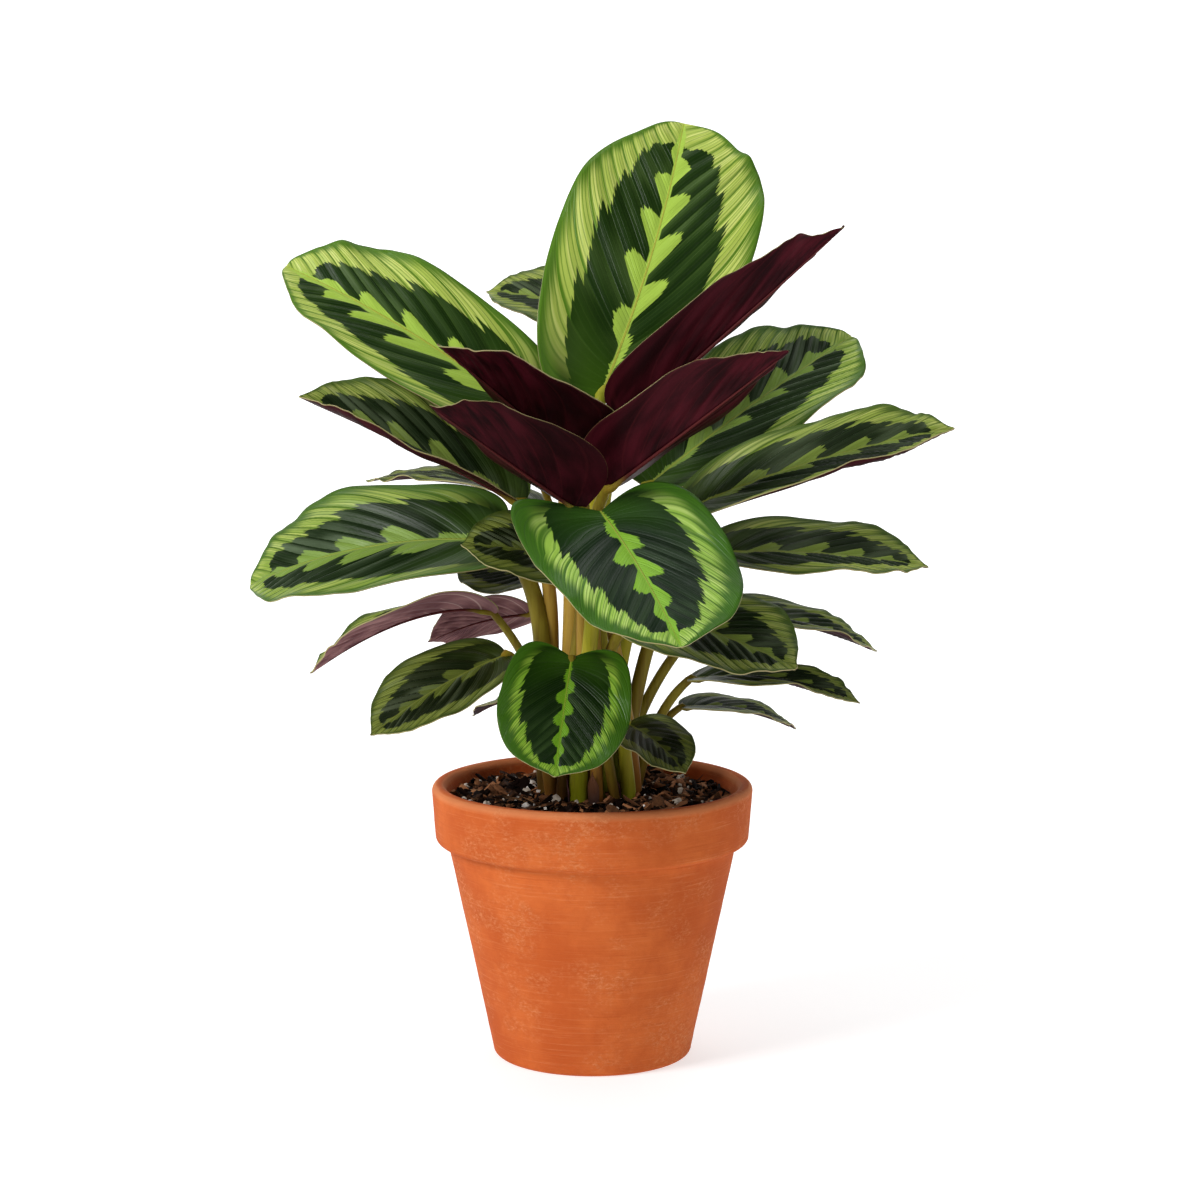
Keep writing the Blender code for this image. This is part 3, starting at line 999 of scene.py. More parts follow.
def thicken(piece: bpy.types.Object, depth: float, slots: int) -> None:
    """Give a sheet its thickness, below its top.

    Args:
        piece: the sheet.
        depth: the thickness.
        slots: its number of materials: top, underside and rim.
    """
    skin = piece.modifiers.new("thickness", "SOLIDIFY")
    skin.thickness = depth
    skin.offset = -1.0
    if slots > 1:
        skin.material_offset = 1
        skin.material_offset_rim = slots - 1


def edges_of(corners: Iterable[bmesh.types.BMVert]) -> list[bmesh.types.BMEdge]:
    """The edges at some corners, each once and in the same order on every run."""
    return list(dict.fromkeys(edge for corner in corners for edge in corner.link_edges))


def bent_grid(
    cells: tuple[int, int],
    layers: dict[str, Callable[[float, float], tuple[float, float]]],
    spot: Callable[[float, float], Vector],
    even: bool = False,
) -> bmesh.types.BMesh:
    """Bend a flat grid into a sheet and keep its layout as UV maps.

    Args:
        cells: cells along and across.
        layers: UV map names and what each holds, from (along, across).
        spot: the sheet's point, from (along, across).
        even: equal steps along, otherwise finer at both ends.

    Returns:
        The sheet, its faces looking out of its top.
    """
    shape = bmesh.new()
    bmesh.ops.create_grid(shape, x_segments=cells[0], y_segments=cells[1], size=1.0)

    def read(corner: bmesh.types.BMVert) -> tuple[float, float]:
        """Place along and across of a grid corner."""
        along = 0.5 * (corner.co.x + 1.0)
        if not even:
            along = 0.5 * (1.0 - math.cos(math.pi * along))
        return min(max(along, 0.0), 1.0), min(max(-corner.co.y, -1.0), 1.0)

    for name, layout in layers.items():
        layer = shape.loops.layers.uv.new(name)
        for face in shape.faces:
            for loop in face.loops:
                loop[layer].uv = layout(*read(loop.vert))
    for corner in shape.verts:
        corner.co = spot(*read(corner))
    bmesh.ops.remove_doubles(shape, verts=shape.verts, dist=WELD)
    return shape


def tube(
    path: list[Vector], radii: list[float], marks: list[float], sides: int
) -> bmesh.types.BMesh:
    """Draw a ring along a path.

    Args:
        path: the centre line.
        radii: radius at each point.
        marks: the number kept as "along" at each point.
        sides: corners of the ring.

    Returns:
        A closed tube.
    """
    shape = bmesh.new()
    layer = shape.verts.layers.float.new("along")
    heading = (path[1] - path[0]).normalized()
    frame_now = heading.to_track_quat("Z", "Y").to_matrix().to_4x4()
    frame_now.translation = path[0]
    made = bmesh.ops.create_circle(
        shape, cap_ends=False, segments=sides, radius=radii[0], matrix=frame_now
    )
    corners = made["verts"]
    edges = edges_of(corners)
    for corner in corners:
        corner[layer] = marks[0]
    first = edges
    for index in range(1, len(path)):
        after = path[min(index + 1, len(path) - 1)] - path[index - 1]
        turn = heading.rotation_difference(after.normalized()).to_matrix().to_4x4()
        heading = after.normalized()
        grow = Matrix.Scale(radii[index] / radii[index - 1], 4)
        move = Matrix.Translation(path[index]) @ turn @ grow @ Matrix.Translation(-path[index - 1])
        drawn = bmesh.ops.extrude_edge_only(shape, edges=edges)["geom"]
        corners = [item for item in drawn if isinstance(item, bmesh.types.BMVert)]
        edges = [item for item in drawn if isinstance(item, bmesh.types.BMEdge)]
        bmesh.ops.transform(shape, matrix=move, verts=corners)
        for corner in corners:
            corner[layer] = marks[index]
    bmesh.ops.holes_fill(shape, edges=first + edges, sides=0)
    bmesh.ops.recalc_face_normals(shape, faces=shape.faces)
    return shape


def turned(outline: list[tuple[float, float]], closed: bool) -> bmesh.types.BMesh:
    """Spin an outline about the Z axis.

    Args:
        outline: its points as (radius, height).
        closed: whether the last point joins the first.

    Returns:
        The turned shape.
    """
    shape = bmesh.new()
    corners = [shape.verts.new((radius, 0.0, height)) for radius, height in outline]
    pairs = list(zip(corners, corners[1:]))
    if closed:
        pairs.append((corners[-1], corners[0]))
    edges = [shape.edges.new(pair) for pair in pairs]
    bmesh.ops.spin(
        shape, geom=corners + edges, cent=(0, 0, 0), axis=(0, 0, 1),
        angle=math.tau, steps=AROUND, use_merge=True,
    )
    bmesh.ops.remove_doubles(shape, verts=shape.verts, dist=WELD)
    bmesh.ops.recalc_face_normals(shape, faces=shape.faces)
    return shape


# ---- leaves ---------------------------------------------------------------------------
@dataclass
class Leaf:
    """One blade with its petiole.

    Attributes:
        number: its number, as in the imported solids' names.
        base: foot of the midrib.
        tip: end of the midrib.
        face: the way the top looks.
        ring: radius of its ring in the clump.
        angle: its place on that ring in degrees, 0 at +X, 90 at +Y.
        width: blade width over length.
        arch: rise of the midrib over length.
        fold: upward turn of each half, in degrees.
        full: below 1 the outline is blunt.
        wide: below 1 the widest place moves towards the base.
        lobe: how far the heart-shaped base reaches back.
        point: length of the drawn-out tip.
        skew: how far one half is pushed forward.
        bow: sideways bend of the midrib.
        peak: where along its length the arch is highest.
        tuck: drop of the petiole's end under the blade.
        look: colours of the top.
        under: colour of the underside.
        tone: colour of the petiole.
        pleat: height of the pleats between the ribs.
        wave: height of the margin's waves.
        pinch: how much the blade narrows just before its tip.
        blunt: how much fuller the half on +across is towards the tip.
        roll: degrees by which one margin rolls up, negative for the half on -across.
        stout: thickness of the petiole against the usual.
        crowd: how far the ring keeps to the edge on the half on +across, or -across if negative.
        cells: cells of the blade's grid, along and across.
        roll_start: where the rolled margin starts, from midrib to edge.
        thickness: thickness of the blade.
        foot_radius: radius of the petiole at the soil.
        shaft_radius: radius of its middle.
        neck_radius: radius just under the blade.
        rib_radius: radius of the raised midrib where it starts.
        shaft_points: points of the petiole's centre line.
        rib_points: points of the midrib's.
        sides: faces round them.
        root: the blade's foot, as a vector.
        length: the blade's length.
        forward: the way from foot to tip.
        up: the way that the top looks, square to forward.
        sideways: the way across the blade.
        turn: the fold, in radians.
    """

    number: int
    base: tuple[float, float, float]
    tip: tuple[float, float, float]
    face: tuple[float, float, float]
    ring: float
    angle: float
    width: float = 0.5
    arch: float = 0.08
    fold: float = 10.0
    full: float = 0.85
    wide: float = 1.0
    lobe: float = 0.03
    point: float = 0.06
    skew: float = 0.0
    bow: float = 0.0
    peak: float = 0.5
    tuck: float = 0.0
    look: Look = Look.OLIVE
    under: Under = Under.MAROON
    tone: Tone = Tone.TAN
    pleat: float = 0.0008
    wave: float = 0.0028
    pinch: float = 0.62
    blunt: float = 0.0
    roll: float = 0.0
    stout: float = 1.0
    crowd: float = 0.0
    cells: tuple[int, int] = (104, 48)
    roll_start: float = 0.84
    thickness: float = 0.0006
    foot_radius: float = 0.0037
    shaft_radius: float = 0.0027
    neck_radius: float = 0.0025
    rib_radius: float = 0.0008
    shaft_points: int = 34
    rib_points: int = 22
    sides: int = 12
    root: Vector = field(init=False)
    length: float = field(init=False)
    forward: Vector = field(init=False)
    up: Vector = field(init=False)
    sideways: Vector = field(init=False)
    turn: float = field(init=False)

    def __post_init__(self) -> None:
        """Work out the blade's axes once."""
        self.root = Vector(self.base)
        chord = Vector(self.tip) - self.root
        self.length = chord.length
        self.forward = chord / self.length
        toward = Vector(self.face)
        self.up = (toward - toward.dot(self.forward) * self.forward).normalized()
        self.sideways = self.forward.cross(self.up)
        self.turn = math.radians(self.fold)

    def rise(self, place: float) -> float:
        """Height of the midrib over the chord, as a share of the length."""
        inside = min(max(place, 0.0), 1.0)
        bent = inside ** (math.log(0.5) / math.log(self.peak))
        return 4.0 * bent * (1.0 - bent) * self.arch

    def slope(self, place: float) -> float:
        """Slope of the midrib, held constant beyond its ends."""
        low = max(min(max(place, 0.0), 1.0) - 0.001, 0.0)
        high = min(low + 0.002, 1.0)
        return (self.rise(high) - self.rise(low)) / (high - low)

    def normal(self, place: float) -> Vector:
        """The way square to the midrib at a place along it."""
        pitch = math.atan(self.slope(place))
        return math.cos(pitch) * self.up - math.sin(pitch) * self.forward

    def lay(self, along: float, across: float) -> tuple[float, float]:
        """Place of a point on the flat blade, in blade lengths.

        Args:
            along: which vein, 0 at the base and 1 at the tip.
            across: place on the vein, -1 and 1 at the edges.

        Returns:
            Distance along the chord, and half width at the point.
        """
        out = abs(across)
        sign = math.copysign(1.0, across) if out > 0.0 else 0.0
        ring = along**VEIN_SWEEP
        edge = (1.0 - self.point) * 0.5 * (1.0 - math.cos(math.pi * ring))
        edge += self.point * ease(0.86, 1.0, ring) ** 2
        edge -= self.lobe * max(math.sin(math.pi * min(ring / 0.42, 1.0)), 0.0) ** 0.6
        edge += self.skew * sign * math.sin(math.pi * ring**0.8)
        full = self.full - (self.blunt if across > 0.0 else 0.0)
        half = 0.5 * self.width * math.sin(math.pi * ring**self.wide) ** full
        half *= 1.0 - self.pinch * ease(0.92, 0.985, ring)
        return along + (edge - along) * out**VEIN_CURVE, half

    @staticmethod
    def vein(along: float, out: float) -> float:
        """Vein number of a place, the veins swept a little more than the mesh."""
        return along - (0.30 * out - 0.14 * out**2 + 0.12 * out**5) * math.sin(math.pi * along)

    def veins(self, along: float, across: float) -> tuple[float, float]:
        """What the "veins" UV map holds: which vein, and the place across it."""
        out = abs(across)
        spread = out ** (1.0 + abs(self.crowd)) if self.crowd * across > 0.0 else out
        return self.vein(along, out), 0.5 * (math.copysign(spread, across) + 1.0)

    def layout(self, along: float, across: float) -> tuple[float, float]:
        """What the "lay" UV map holds: place along, and sideways about 0.5."""
        place, half = self.lay(along, across)
        return place, 0.5 + half * across

    def surface(self, along: float, across: float) -> Vector:
        """Point of the blade's top, with its pleats, waves and groove.

        Args:
            along: which vein, 0 at the base and 1 at the tip.
            across: place on the vein, -1 and 1 at the edges.

        Returns:
            The point.
        """
        out = abs(across)
        sign = math.copysign(1.0, across) if out > 0.0 else 0.0
        place, half = self.lay(along, across)
        inside = min(max(place, 0.0), 1.0)
        height = self.rise(place) + self.slope(place) * (place - inside)
        reach = half * out * self.length
        share = 2.0 * half * out / self.width
        swell = 0.03 * self.width * self.length * share**2
        swell *= math.sin(math.pi * 5.0 * along + (1.9 if sign > 0.0 else 0.0))
        swell *= 1.0 - 0.7 * ease(0.55, 0.9, along)
        bow = self.bow * 4.0 * inside * (1.0 - inside) * self.length
        lift = reach * math.sin(self.turn) + swell + self.relief(along, out, sign, reach)
        if self.roll * sign > 0.0 and out > self.roll_start:
            inward, upward = self.curl(along, out, half)
            reach -= inward
            lift += upward
        point = self.root + place * self.length * self.forward + height * self.length * self.up
        point += (sign * reach * math.cos(self.turn) + bow) * self.sideways
        return point + lift * self.normal(place)

    def curl(self, along: float, out: float, half: float) -> tuple[float, float]:
        """How far a point of the rolled margin is drawn in and up.

        Args:
            along: which vein.
            out: place on the vein, past the start of the roll.
            half: half width there, in blade lengths.

        Returns:
            The distance towards the midrib, and the height.
        """
        bend = math.radians(abs(self.roll)) * math.sin(math.pi * min(along * 1.6, 1.0) * 0.5)
        turned_by = bend * (out - self.roll_start) / (1.0 - self.roll_start)
        if turned_by < 0.001:
            return 0.0, 0.0
        band = half * (out - self.roll_start) * self.length
        inward = band * (1.0 - math.sin(turned_by) / turned_by)
        return inward, band * (1.0 - math.cos(turned_by)) / turned_by

    def relief(self, along: float, out: float, sign: float, reach: float) -> float:
        """Small heights of the top: pleats along the veins, a wavy edge, a groove.

        Args:
            along: which vein.
            out: place on the vein, 0 at the midrib.
            sign: which half.
            reach: distance from the midrib, in metres.

        Returns:
            The height.
        """
        ends = math.sin(math.pi * along) ** 0.5 if 0.0 < along < 1.0 else 0.0
        size = self.length / RELIEF_LENGTH
        seed = self.number * 7.3 + sign * 2.1
        beat = RIBS * self.vein(along, out) + (RIB_SHIFT if sign > 0.0 else 0.0)
        pleat = -self.pleat * size * math.cos(math.tau * beat) * math.sin(math.pi * out**0.8) * ends
        minor = 0.3 * self.pleat * size * ripple(beat * 2.6, seed) * out * (1.0 - out) * ends
        edge = self.wave * size * ripple(along * 6.5, seed + 5.0) * out**2.2 * ends
        flutter = 0.45 * self.wave * size * ripple(along * 15.0, seed + 9.0) * out**5 * ends
        billow = 0.0022 * size * ripple(along * 2.2, seed + 13.0) * out * ends
        groove = 0.0006 * math.exp(-((reach / 0.0016) ** 2)) * ends
        return pleat + minor + edge + flutter + billow - groove

    def blade(self, finishes: dict[Enum, bpy.types.Material], rim: bpy.types.Material) -> None:
        """Build the blade.

        Args:
            finishes: the materials by look and underside.
            rim: the edge's material.
        """
        name = f"blade_{self.number:02d}"
        layers = {"veins": self.veins, "lay": self.layout}
        shape = bent_grid(self.cells, layers, self.surface)
        slots = [finishes[self.look], finishes[self.under], rim]
        piece = place_piece(name, shape, slots)
        thicken(piece, self.thickness, len(slots))
        attach(piece, "leaf_blade", f"leaf_{self.number:02d}")

    def path(self) -> list[Vector]:
        """Centre line of the petiole, from the soil to the blade's foot."""
        turn = math.radians(self.angle)
        foot = Vector((self.ring * math.cos(turn), self.ring * math.sin(turn), COLLAR_HEIGHT))
        end = self.root - self.tuck * self.up
        span = end - foot
        leave = (self.surface(0.02, 0.0) - self.surface(0.0, 0.0)).normalized()
        arrive = (0.6 * leave + 0.8 * span.normalized()).normalized()
        lift = Vector((0.22 * span.x, 0.22 * span.y, 0.45 * span.z))
        pull = min(0.3 * span.length, 0.05) * arrive
        shaft = interpolate_bezier(foot, foot + lift, end - pull, end, self.shaft_points)
        return [foot - Vector((0.0, 0.0, ROOT_DEPTH))] + shaft

    def stalk(self, finishes: dict[Enum, bpy.types.Material]) -> None:
        """Build the petiole with the midrib that it becomes under the blade.

        Args:
            finishes: the materials by tone.
        """
        path = self.path()
        last = len(path) - 1
        size = min(max(self.length / STALK_LENGTH, 0.7), 1.15)
        marks = [index / last for index in range(len(path))]
        radii = []
        for share in marks:
            radius = self.shaft_radius + (self.foot_radius - self.shaft_radius) * (1.0 - share) ** 2
            radius += (self.neck_radius - self.shaft_radius) * ease(0.82, 0.93, share)
            radii.append(radius * size * self.stout)
        for step in range(1, self.rib_points + 1):
            share = step / self.rib_points
            along = 0.94 * share
            radius = size * (self.rib_radius * (1.0 - share) + 0.00025)
            radius += (radii[last] - radius) * (1.0 - ease(0.0, 0.12, share)) * 0.6
            drop = 0.75 * radius + self.thickness
            path.append(self.surface(along, 0.0) - drop * self.normal(along))
            radii.append(radius)
            marks.append(1.0 + share)
        shape = tube(path, radii, marks, self.sides)
        piece = place_piece(f"stalk_{self.number:02d}", shape, [finishes[self.tone]])
        attach(piece, "petiole", f"petiole_{self.number:02d}")


@dataclass
class Foliage:
    """All the leaves.

    Attributes:
        leaves: the leaves.
    """

    leaves: list[Leaf]

    def build(self) -> None:
        """Build every leaf."""
        finishes = make_all(Look, Under, Tone)
        rim = BladeRim().make()
        for leaf in self.leaves:
            leaf.blade(finishes, rim)
            leaf.stalk(finishes)


@dataclass(frozen=True)
class Sheath:
    """One papery sheath.

    Attributes:
        leaf: number of the leaf whose petiole it wraps.
        height: its height.
        facing: the way its middle looks, in degrees.
        finish: its colours.
    """

    leaf: int
    height: float
    facing: float
    finish: Wrapping


@dataclass
class Sheaths:
    """Papery sheaths that wrap some petioles near the soil.

    Attributes:
        wraps: the sheaths.
        leaves: the leaves by number.
        gap: how far a sheath stands off its petiole.
        flare: how much further it stands off at its tip.
        sunk: how far its foot is under the soil's collar.
        spread: half the angle that its foot covers, in radians.
        thickness: its thickness.
        cells: cells of its grid, along and across.
    """

    wraps: list[Sheath]
    leaves: dict[int, Leaf]
    gap: float = 0.0007
    flare: float = 0.0012
    sunk: float = 0.004
    spread: float = 0.65
    thickness: float = 0.0005
    cells: tuple[int, int] = (18, 14)

    def wrap(self, index: int, sheath: Sheath, finish: bpy.types.Material) -> None:
        """Build one sheath.

        Args:
            index: its number in the piece's name.
            sheath: its place, height and colours.
            finish: its material.
        """
        path = self.leaves[sheath.leaf].path()[1:]
        turn = math.radians(sheath.facing)

        def spot(rise: float, around: float) -> Vector:
            """Point of the sheath, from foot to tip and side to side."""
            reach = rise * sheath.height
            passed = (point for point in path[:-2] if point.z - path[0].z >= reach)
            centre = next(passed, path[-2]).copy()
            centre.z = path[0].z + reach - self.sunk
            close = 1.0 - ease(0.55, 1.0, rise) * 0.98
            angle = turn + around * self.spread * close
            radius = Leaf.foot_radius + self.gap + self.flare * rise**2
            return centre + radius * Vector((math.cos(angle), math.sin(angle), 0.0))

        layers = {"veins": lambda rise, around: (rise, 0.5 * (around + 1.0))}
        shape = bent_grid(self.cells, layers, spot, even=True)
        bmesh.ops.recalc_face_normals(shape, faces=shape.faces)
        piece = place_piece(f"sheath_{index:02d}", shape, [finish])
        thicken(piece, self.thickness, 1)
        attach(piece, "petiole")

    def build(self) -> None:
        """Build every sheath."""
        finishes = make_all(Wrapping)
        for index, sheath in enumerate(self.wraps, 1):
            self.wrap(index, sheath, finishes[sheath.finish])


# ---- pot and soil ---------------------------------------------------------------------
@dataclass
class Pot:
    """The fired pot.

    Attributes:
        height: its height.
        rim_radius: radius of the rim.
        base_radius: radius of the foot.
        band: height of the rolled band.
        taper: how far the band narrows downwards.
        step: how far the band stands out over the body.
        lip: thickness of the rim.
        wall: thickness of the wall at the foot.
        floor: thickness of the floor.
        drain: radius of the drainage hole.
        edge: radius of the rounded edges.
    """

    height: float
    rim_radius: float
    base_radius: float = 0.0467
    band: float = 0.0275
    taper: float = 0.0017
    step: float = 0.0062
    lip: float = 0.0068
    wall: float = 0.0065
    floor: float = 0.009
    drain: float = 0.010
    edge: float = 0.003

    def inner_radius(self, height: float) -> float:
        """Radius of the inner wall at a height."""
        top = self.rim_radius - self.lip
        foot = self.base_radius - self.wall
        share = (height - self.floor) / (self.height - self.floor)
        return foot + (top - foot) * share

    @staticmethod
    def arc(
        centre: tuple[float, float], radius: float, start: float, end: float, count: int = 6
    ) -> list[tuple[float, float]]:
        """Points of an arc in the turning plane.

        Args:
            centre: its centre, as radius and height.
            radius: its radius.
            start: first angle in degrees.
            end: last angle in degrees.
            count: number of steps.

        Returns:
            The points.
        """
        points = []
        for step in range(count + 1):
            turn = math.radians(start + (end - start) * step / count)
            x = centre[0] + radius * math.cos(turn)
            points.append((x, centre[1] + radius * math.sin(turn)))
        return points

    @staticmethod
    def run(
        start: tuple[float, float], end: tuple[float, float], count: int
    ) -> list[tuple[float, float]]:
        """Points between two places, both left out."""
        points = []
        for step in range(1, count):
            share = step / count
            x = start[0] + (end[0] - start[0]) * share
            points.append((x, start[1] + (end[1] - start[1]) * share))
        return points

    def outline(self) -> list[tuple[float, float]]:
        """Closed outline of the wall, as (radius, height)."""
        band_foot = self.height - self.band
        lip = self.lip / 2.0
        band = self.rim_radius - self.taper
        body = band - self.step
        points = [(self.drain, 0.0)]
        points += self.arc((self.base_radius - self.edge, self.edge), self.edge, -90, 0)
        points += self.run(points[-1], (body, band_foot - 0.002), 26)
        points.append((body, band_foot - 0.002))
        points.append((body + 0.0004, band_foot - 0.0006))
        points.append((body + 0.001, band_foot))
        points += self.arc((band - self.edge, band_foot + self.edge), self.edge, -90, 0)
        lip_foot = (self.rim_radius, self.height - lip)
        points += self.run(points[-1], lip_foot, 8)
        points += self.arc((self.rim_radius - lip, self.height - lip), lip, 0, 180, 14)
        low = self.floor + self.edge
        points += self.run(points[-1], (self.inner_radius(low), low), 18)
        points.append((self.inner_radius(low), low))
        points.append((self.inner_radius(self.floor) - self.edge, self.floor))
        points.append((self.drain, self.floor))
        return points

    def build(self) -> None:
        """Turn the pot and dress it."""
        shape = turned(self.outline(), closed=True)
        for corner in shape.verts:
            x, y, z = corner.co
            if z > self.floor and math.hypot(x, y) > self.base_radius * 0.5:
                swell = 0.00022 * ripple(x * 22.0, y * 22.0 + z * 30.0)
                swell += 0.00010 * ripple(z * 260.0, math.atan2(y, x) * 1.2)
                scale = 1.0 + swell / math.hypot(x, y)
                corner.co.x *= scale
                corner.co.y *= scale
        piece = place_piece("pot_fired", shape, [FiredClay().make()], 40)
        attach(piece, "terracotta", "pot")


@dataclass(frozen=True)
class Litter:
    """One kind of loose matter on the soil.

    Attributes:
        name: the piece's name.
        finish: what it is made of.
        count: how many shapes.
        seed: seed of the draw.
        maker: makes one shape at a matrix.
        lean: largest lean in radians.
        sink: how deep each lies, in metres.
        inner: radius kept free of it round the petioles.
    """

    name: str
    finish: Loose
    count: int
    seed: int
    maker: Maker
    lean: float
    sink: float
    inner: float


@dataclass
class Soil:
    """The soil: its lumpy top, bark, crumbs, fibres and perlite.

    Attributes:
        radius: radius of the top.
        foot_radius: radius at the pot's floor.
        foot: height of its underside.
        top: height of the top at the wall.
        crown: how much higher it stands in the middle.
        rings: rings of faces on the top.
        bed_tone: tone of the fill, between its two colours.
        margin: width kept free of loose matter at the wall.
        batch: shapes made in one go, which keeps the making quick.
    """

    radius: float
    foot_radius: float
    foot: float
    top: float = 0.1215
    crown: float = 0.0015
    rings: int = 52
    bed_tone: float = 0.05
    margin: float = 0.002
    batch: int = 40

    def height(self, x: float, y: float) -> float:
        """Height of the soil's top at a place."""
        share = math.hypot(x, y) / self.radius
        lumps = 0.0016 * ripple(x * 95.0, y * 95.0) + 0.0009 * ripple(x * 260.0, y * 260.0 + 9.0)
        fade = 1.0 - ease(0.93, 1.0, share)
        return self.top + self.crown * (1.0 - share * share) + lumps * fade

    def fill(self, finish: bpy.types.Material) -> None:
        """Build the body of the soil.

        Args:
            finish: its material.
        """
        outline = [(0.0, self.foot), (self.foot_radius, self.foot)]
        for step in range(self.rings, -1, -1):
            outline.append((self.radius * step / self.rings, self.top))
        shape = turned(outline, closed=False)
        layer = shape.verts.layers.float.new("tone")
        for corner in shape.verts:
            if corner.co.z > self.foot + 0.001:
                corner.co.z = self.height(corner.co.x, corner.co.y)
            corner[layer] = self.bed_tone
        piece = place_piece("soil_fill", shape, [finish])
        attach(piece, "potting_soil", "soil")

    def spot(self, draw: random.Random, inner: float) -> Vector:
        """A place on the soil between a radius and the wall."""
        radius = math.sqrt(draw.uniform(inner**2, (self.radius - self.margin) ** 2))
        turn = draw.uniform(0.0, math.tau)
        x = radius * math.cos(turn)
        y = radius * math.sin(turn)
        return Vector((x, y, self.height(x, y)))

    def scatter(self, litter: Litter, finish: bpy.types.Material) -> None:
        """Strew small shapes over the soil.

        Args:
            litter: what is strewn.
            finish: its material.
        """
        draw = random.Random(litter.seed)
        lean = litter.lean
        shape = bmesh.new()
        shape.verts.layers.float.new("tone")
        tray = bpy.data.meshes.new("tray")
        for start in range(0, litter.count, self.batch):
            batch = bmesh.new()
            layer = batch.verts.layers.float.new("tone")
            for _ in range(min(self.batch, litter.count - start)):
                spot = self.spot(draw, litter.inner) - Vector((0.0, 0.0, litter.sink))
                turn = Matrix.Rotation(draw.uniform(0.0, math.tau), 4, "Z")
                tilt = Matrix.Rotation(draw.uniform(-lean, lean), 4, "X")
                tilt = tilt @ Matrix.Rotation(draw.uniform(-lean, lean), 4, "Y")
                tone = draw.random() ** 2.6
                for corner in litter.maker(batch, draw, Matrix.Translation(spot) @ turn @ tilt):
                    corner[layer] = tone
            batch.to_mesh(tray)
            batch.free()
            shape.from_mesh(tray)
        bpy.data.meshes.remove(tray)
        piece = place_piece(litter.name, shape, [finish], 35)
        attach(piece, "potting_soil")

    @staticmethod
    def chip(
        shape: bmesh.types.BMesh, draw: random.Random, matrix: Matrix
    ) -> list[bmesh.types.BMVert]:
        """A flat splinter of bark.

        Args:
            shape: where it is made.
            draw: the seeded draw.
            matrix: its place.

        Returns:
            Its corners.
        """
        long = 0.0024 + 0.0115 * draw.random() ** 2.2
        thick = draw.uniform(0.0006, 0.0018)
        size = Matrix.Diagonal((long, long * draw.uniform(0.18, 0.45), thick, 1))
        made = bmesh.ops.create_cube(shape, size=1.0)["verts"]
        cut = bmesh.ops.bevel(
            shape, geom=edges_of(made), offset=0.16, affect="EDGES", segments=1, profile=0.5, material=-1
        )
        corners = list(dict.fromkeys(corner for face in cut["faces"] for corner in face.verts))
        for corner in corners:
            corner.co += Vector([draw.uniform(-0.13, 0.13) for _ in range(3)])
        bmesh.ops.transform(shape, matrix=matrix @ size, verts=corners)
        return corners

    @staticmethod
    def crumb(
        shape: bmesh.types.BMesh, draw: random.Random, matrix: Matrix
    ) -> list[bmesh.types.BMVert]:
        """A rounded crumb.

        Args:
            shape: where it is made.
            draw: the seeded draw.
            matrix: its place.

        Returns:
            Its corners.
        """
        radius = 0.0005 + 0.0019 * draw.random() ** 3
        flat = Matrix.Diagonal((draw.uniform(0.8, 1.5), 1.0, draw.uniform(0.6, 1.0), 1))
        made = bmesh.ops.create_icosphere(
            shape, subdivisions=1, radius=radius, matrix=matrix @ flat
        )["verts"]
        for corner in made:
            corner.co += Vector([draw.uniform(-0.22, 0.22) * radius for _ in range(3)])
        return made

    @staticmethod
    def pearl(
        shape: bmesh.types.BMesh, draw: random.Random, matrix: Matrix
    ) -> list[bmesh.types.BMVert]:
        """A knobbly grain of perlite.

        Args:
            shape: where it is made.
            draw: the seeded draw.
            matrix: its place.

        Returns:
            Its corners.
        """
        radius = 0.0005 + 0.0018 * draw.random() ** 2.6
        made = bmesh.ops.create_icosphere(shape, subdivisions=2, radius=1.0)["verts"]
        shift = Vector([draw.uniform(0.0, 50.0) for _ in range(3)])
        for corner in made:
            corner.co *= 1.0 + 0.75 * noise.noise(corner.co * 1.3 + shift)
        flat = Matrix.Diagonal((radius * draw.uniform(0.9, 1.5), radius, radius * 0.8, 1))
        bmesh.ops.transform(shape, matrix=matrix @ flat, verts=made)
        return made

    @staticmethod
    def fibre(
        shape: bmesh.types.BMesh, draw: random.Random, matrix: Matrix
    ) -> list[bmesh.types.BMVert]:
        """A thin bent fibre.

        Args:
            shape: where it is made.
            draw: the seeded draw.
            matrix: its place.

        Returns:
            Its corners.
        """
        long = draw.uniform(0.005, 0.015)
        made = bmesh.ops.create_uvsphere(
            shape, u_segments=5, v_segments=8, radius=1.0
        )["verts"]
        thick = draw.uniform(0.00022, 0.00042)
        sweep = draw.uniform(-0.35, 0.35) * long
        curl = draw.uniform(-0.05, 0.05) * long
        for corner in made:
            share = 0.5 * corner.co.z
            corner.co.x *= thick
            corner.co.y *= thick
            corner.co.x += sweep * (0.25 - share * share) + curl * math.sin(share * 11.0)
            corner.co.z = share * long
        lie = Matrix.Rotation(math.pi / 2.0, 4, "Y") @ Matrix.Rotation(math.pi / 2.0, 4, "Z")
        bmesh.ops.transform(shape, matrix=matrix @ lie, verts=made)
        return made

    def build(self) -> None:
        """Build the soil and all that lies on it."""
        finishes = make_all(Loose)
        self.fill(finishes[Loose.PEAT])
        for litter in (
            Litter("soil_crumbs", Loose.PEAT, 2900, 11, self.crumb, 1.5, 0.0002, 0.010),
            Litter("soil_bark", Loose.BARK, 1100, 12, self.chip, 0.8, -0.0006, 0.017),
            Litter("soil_fibres", Loose.FIBRE, 170, 13, self.fibre, 0.35, -0.0013, 0.017),
            Litter("soil_perlite", Loose.PERLITE, 170, 14, self.pearl, 1.5, -0.0012, 0.014),
        ):
            self.scatter(litter, finishes[litter.finish])


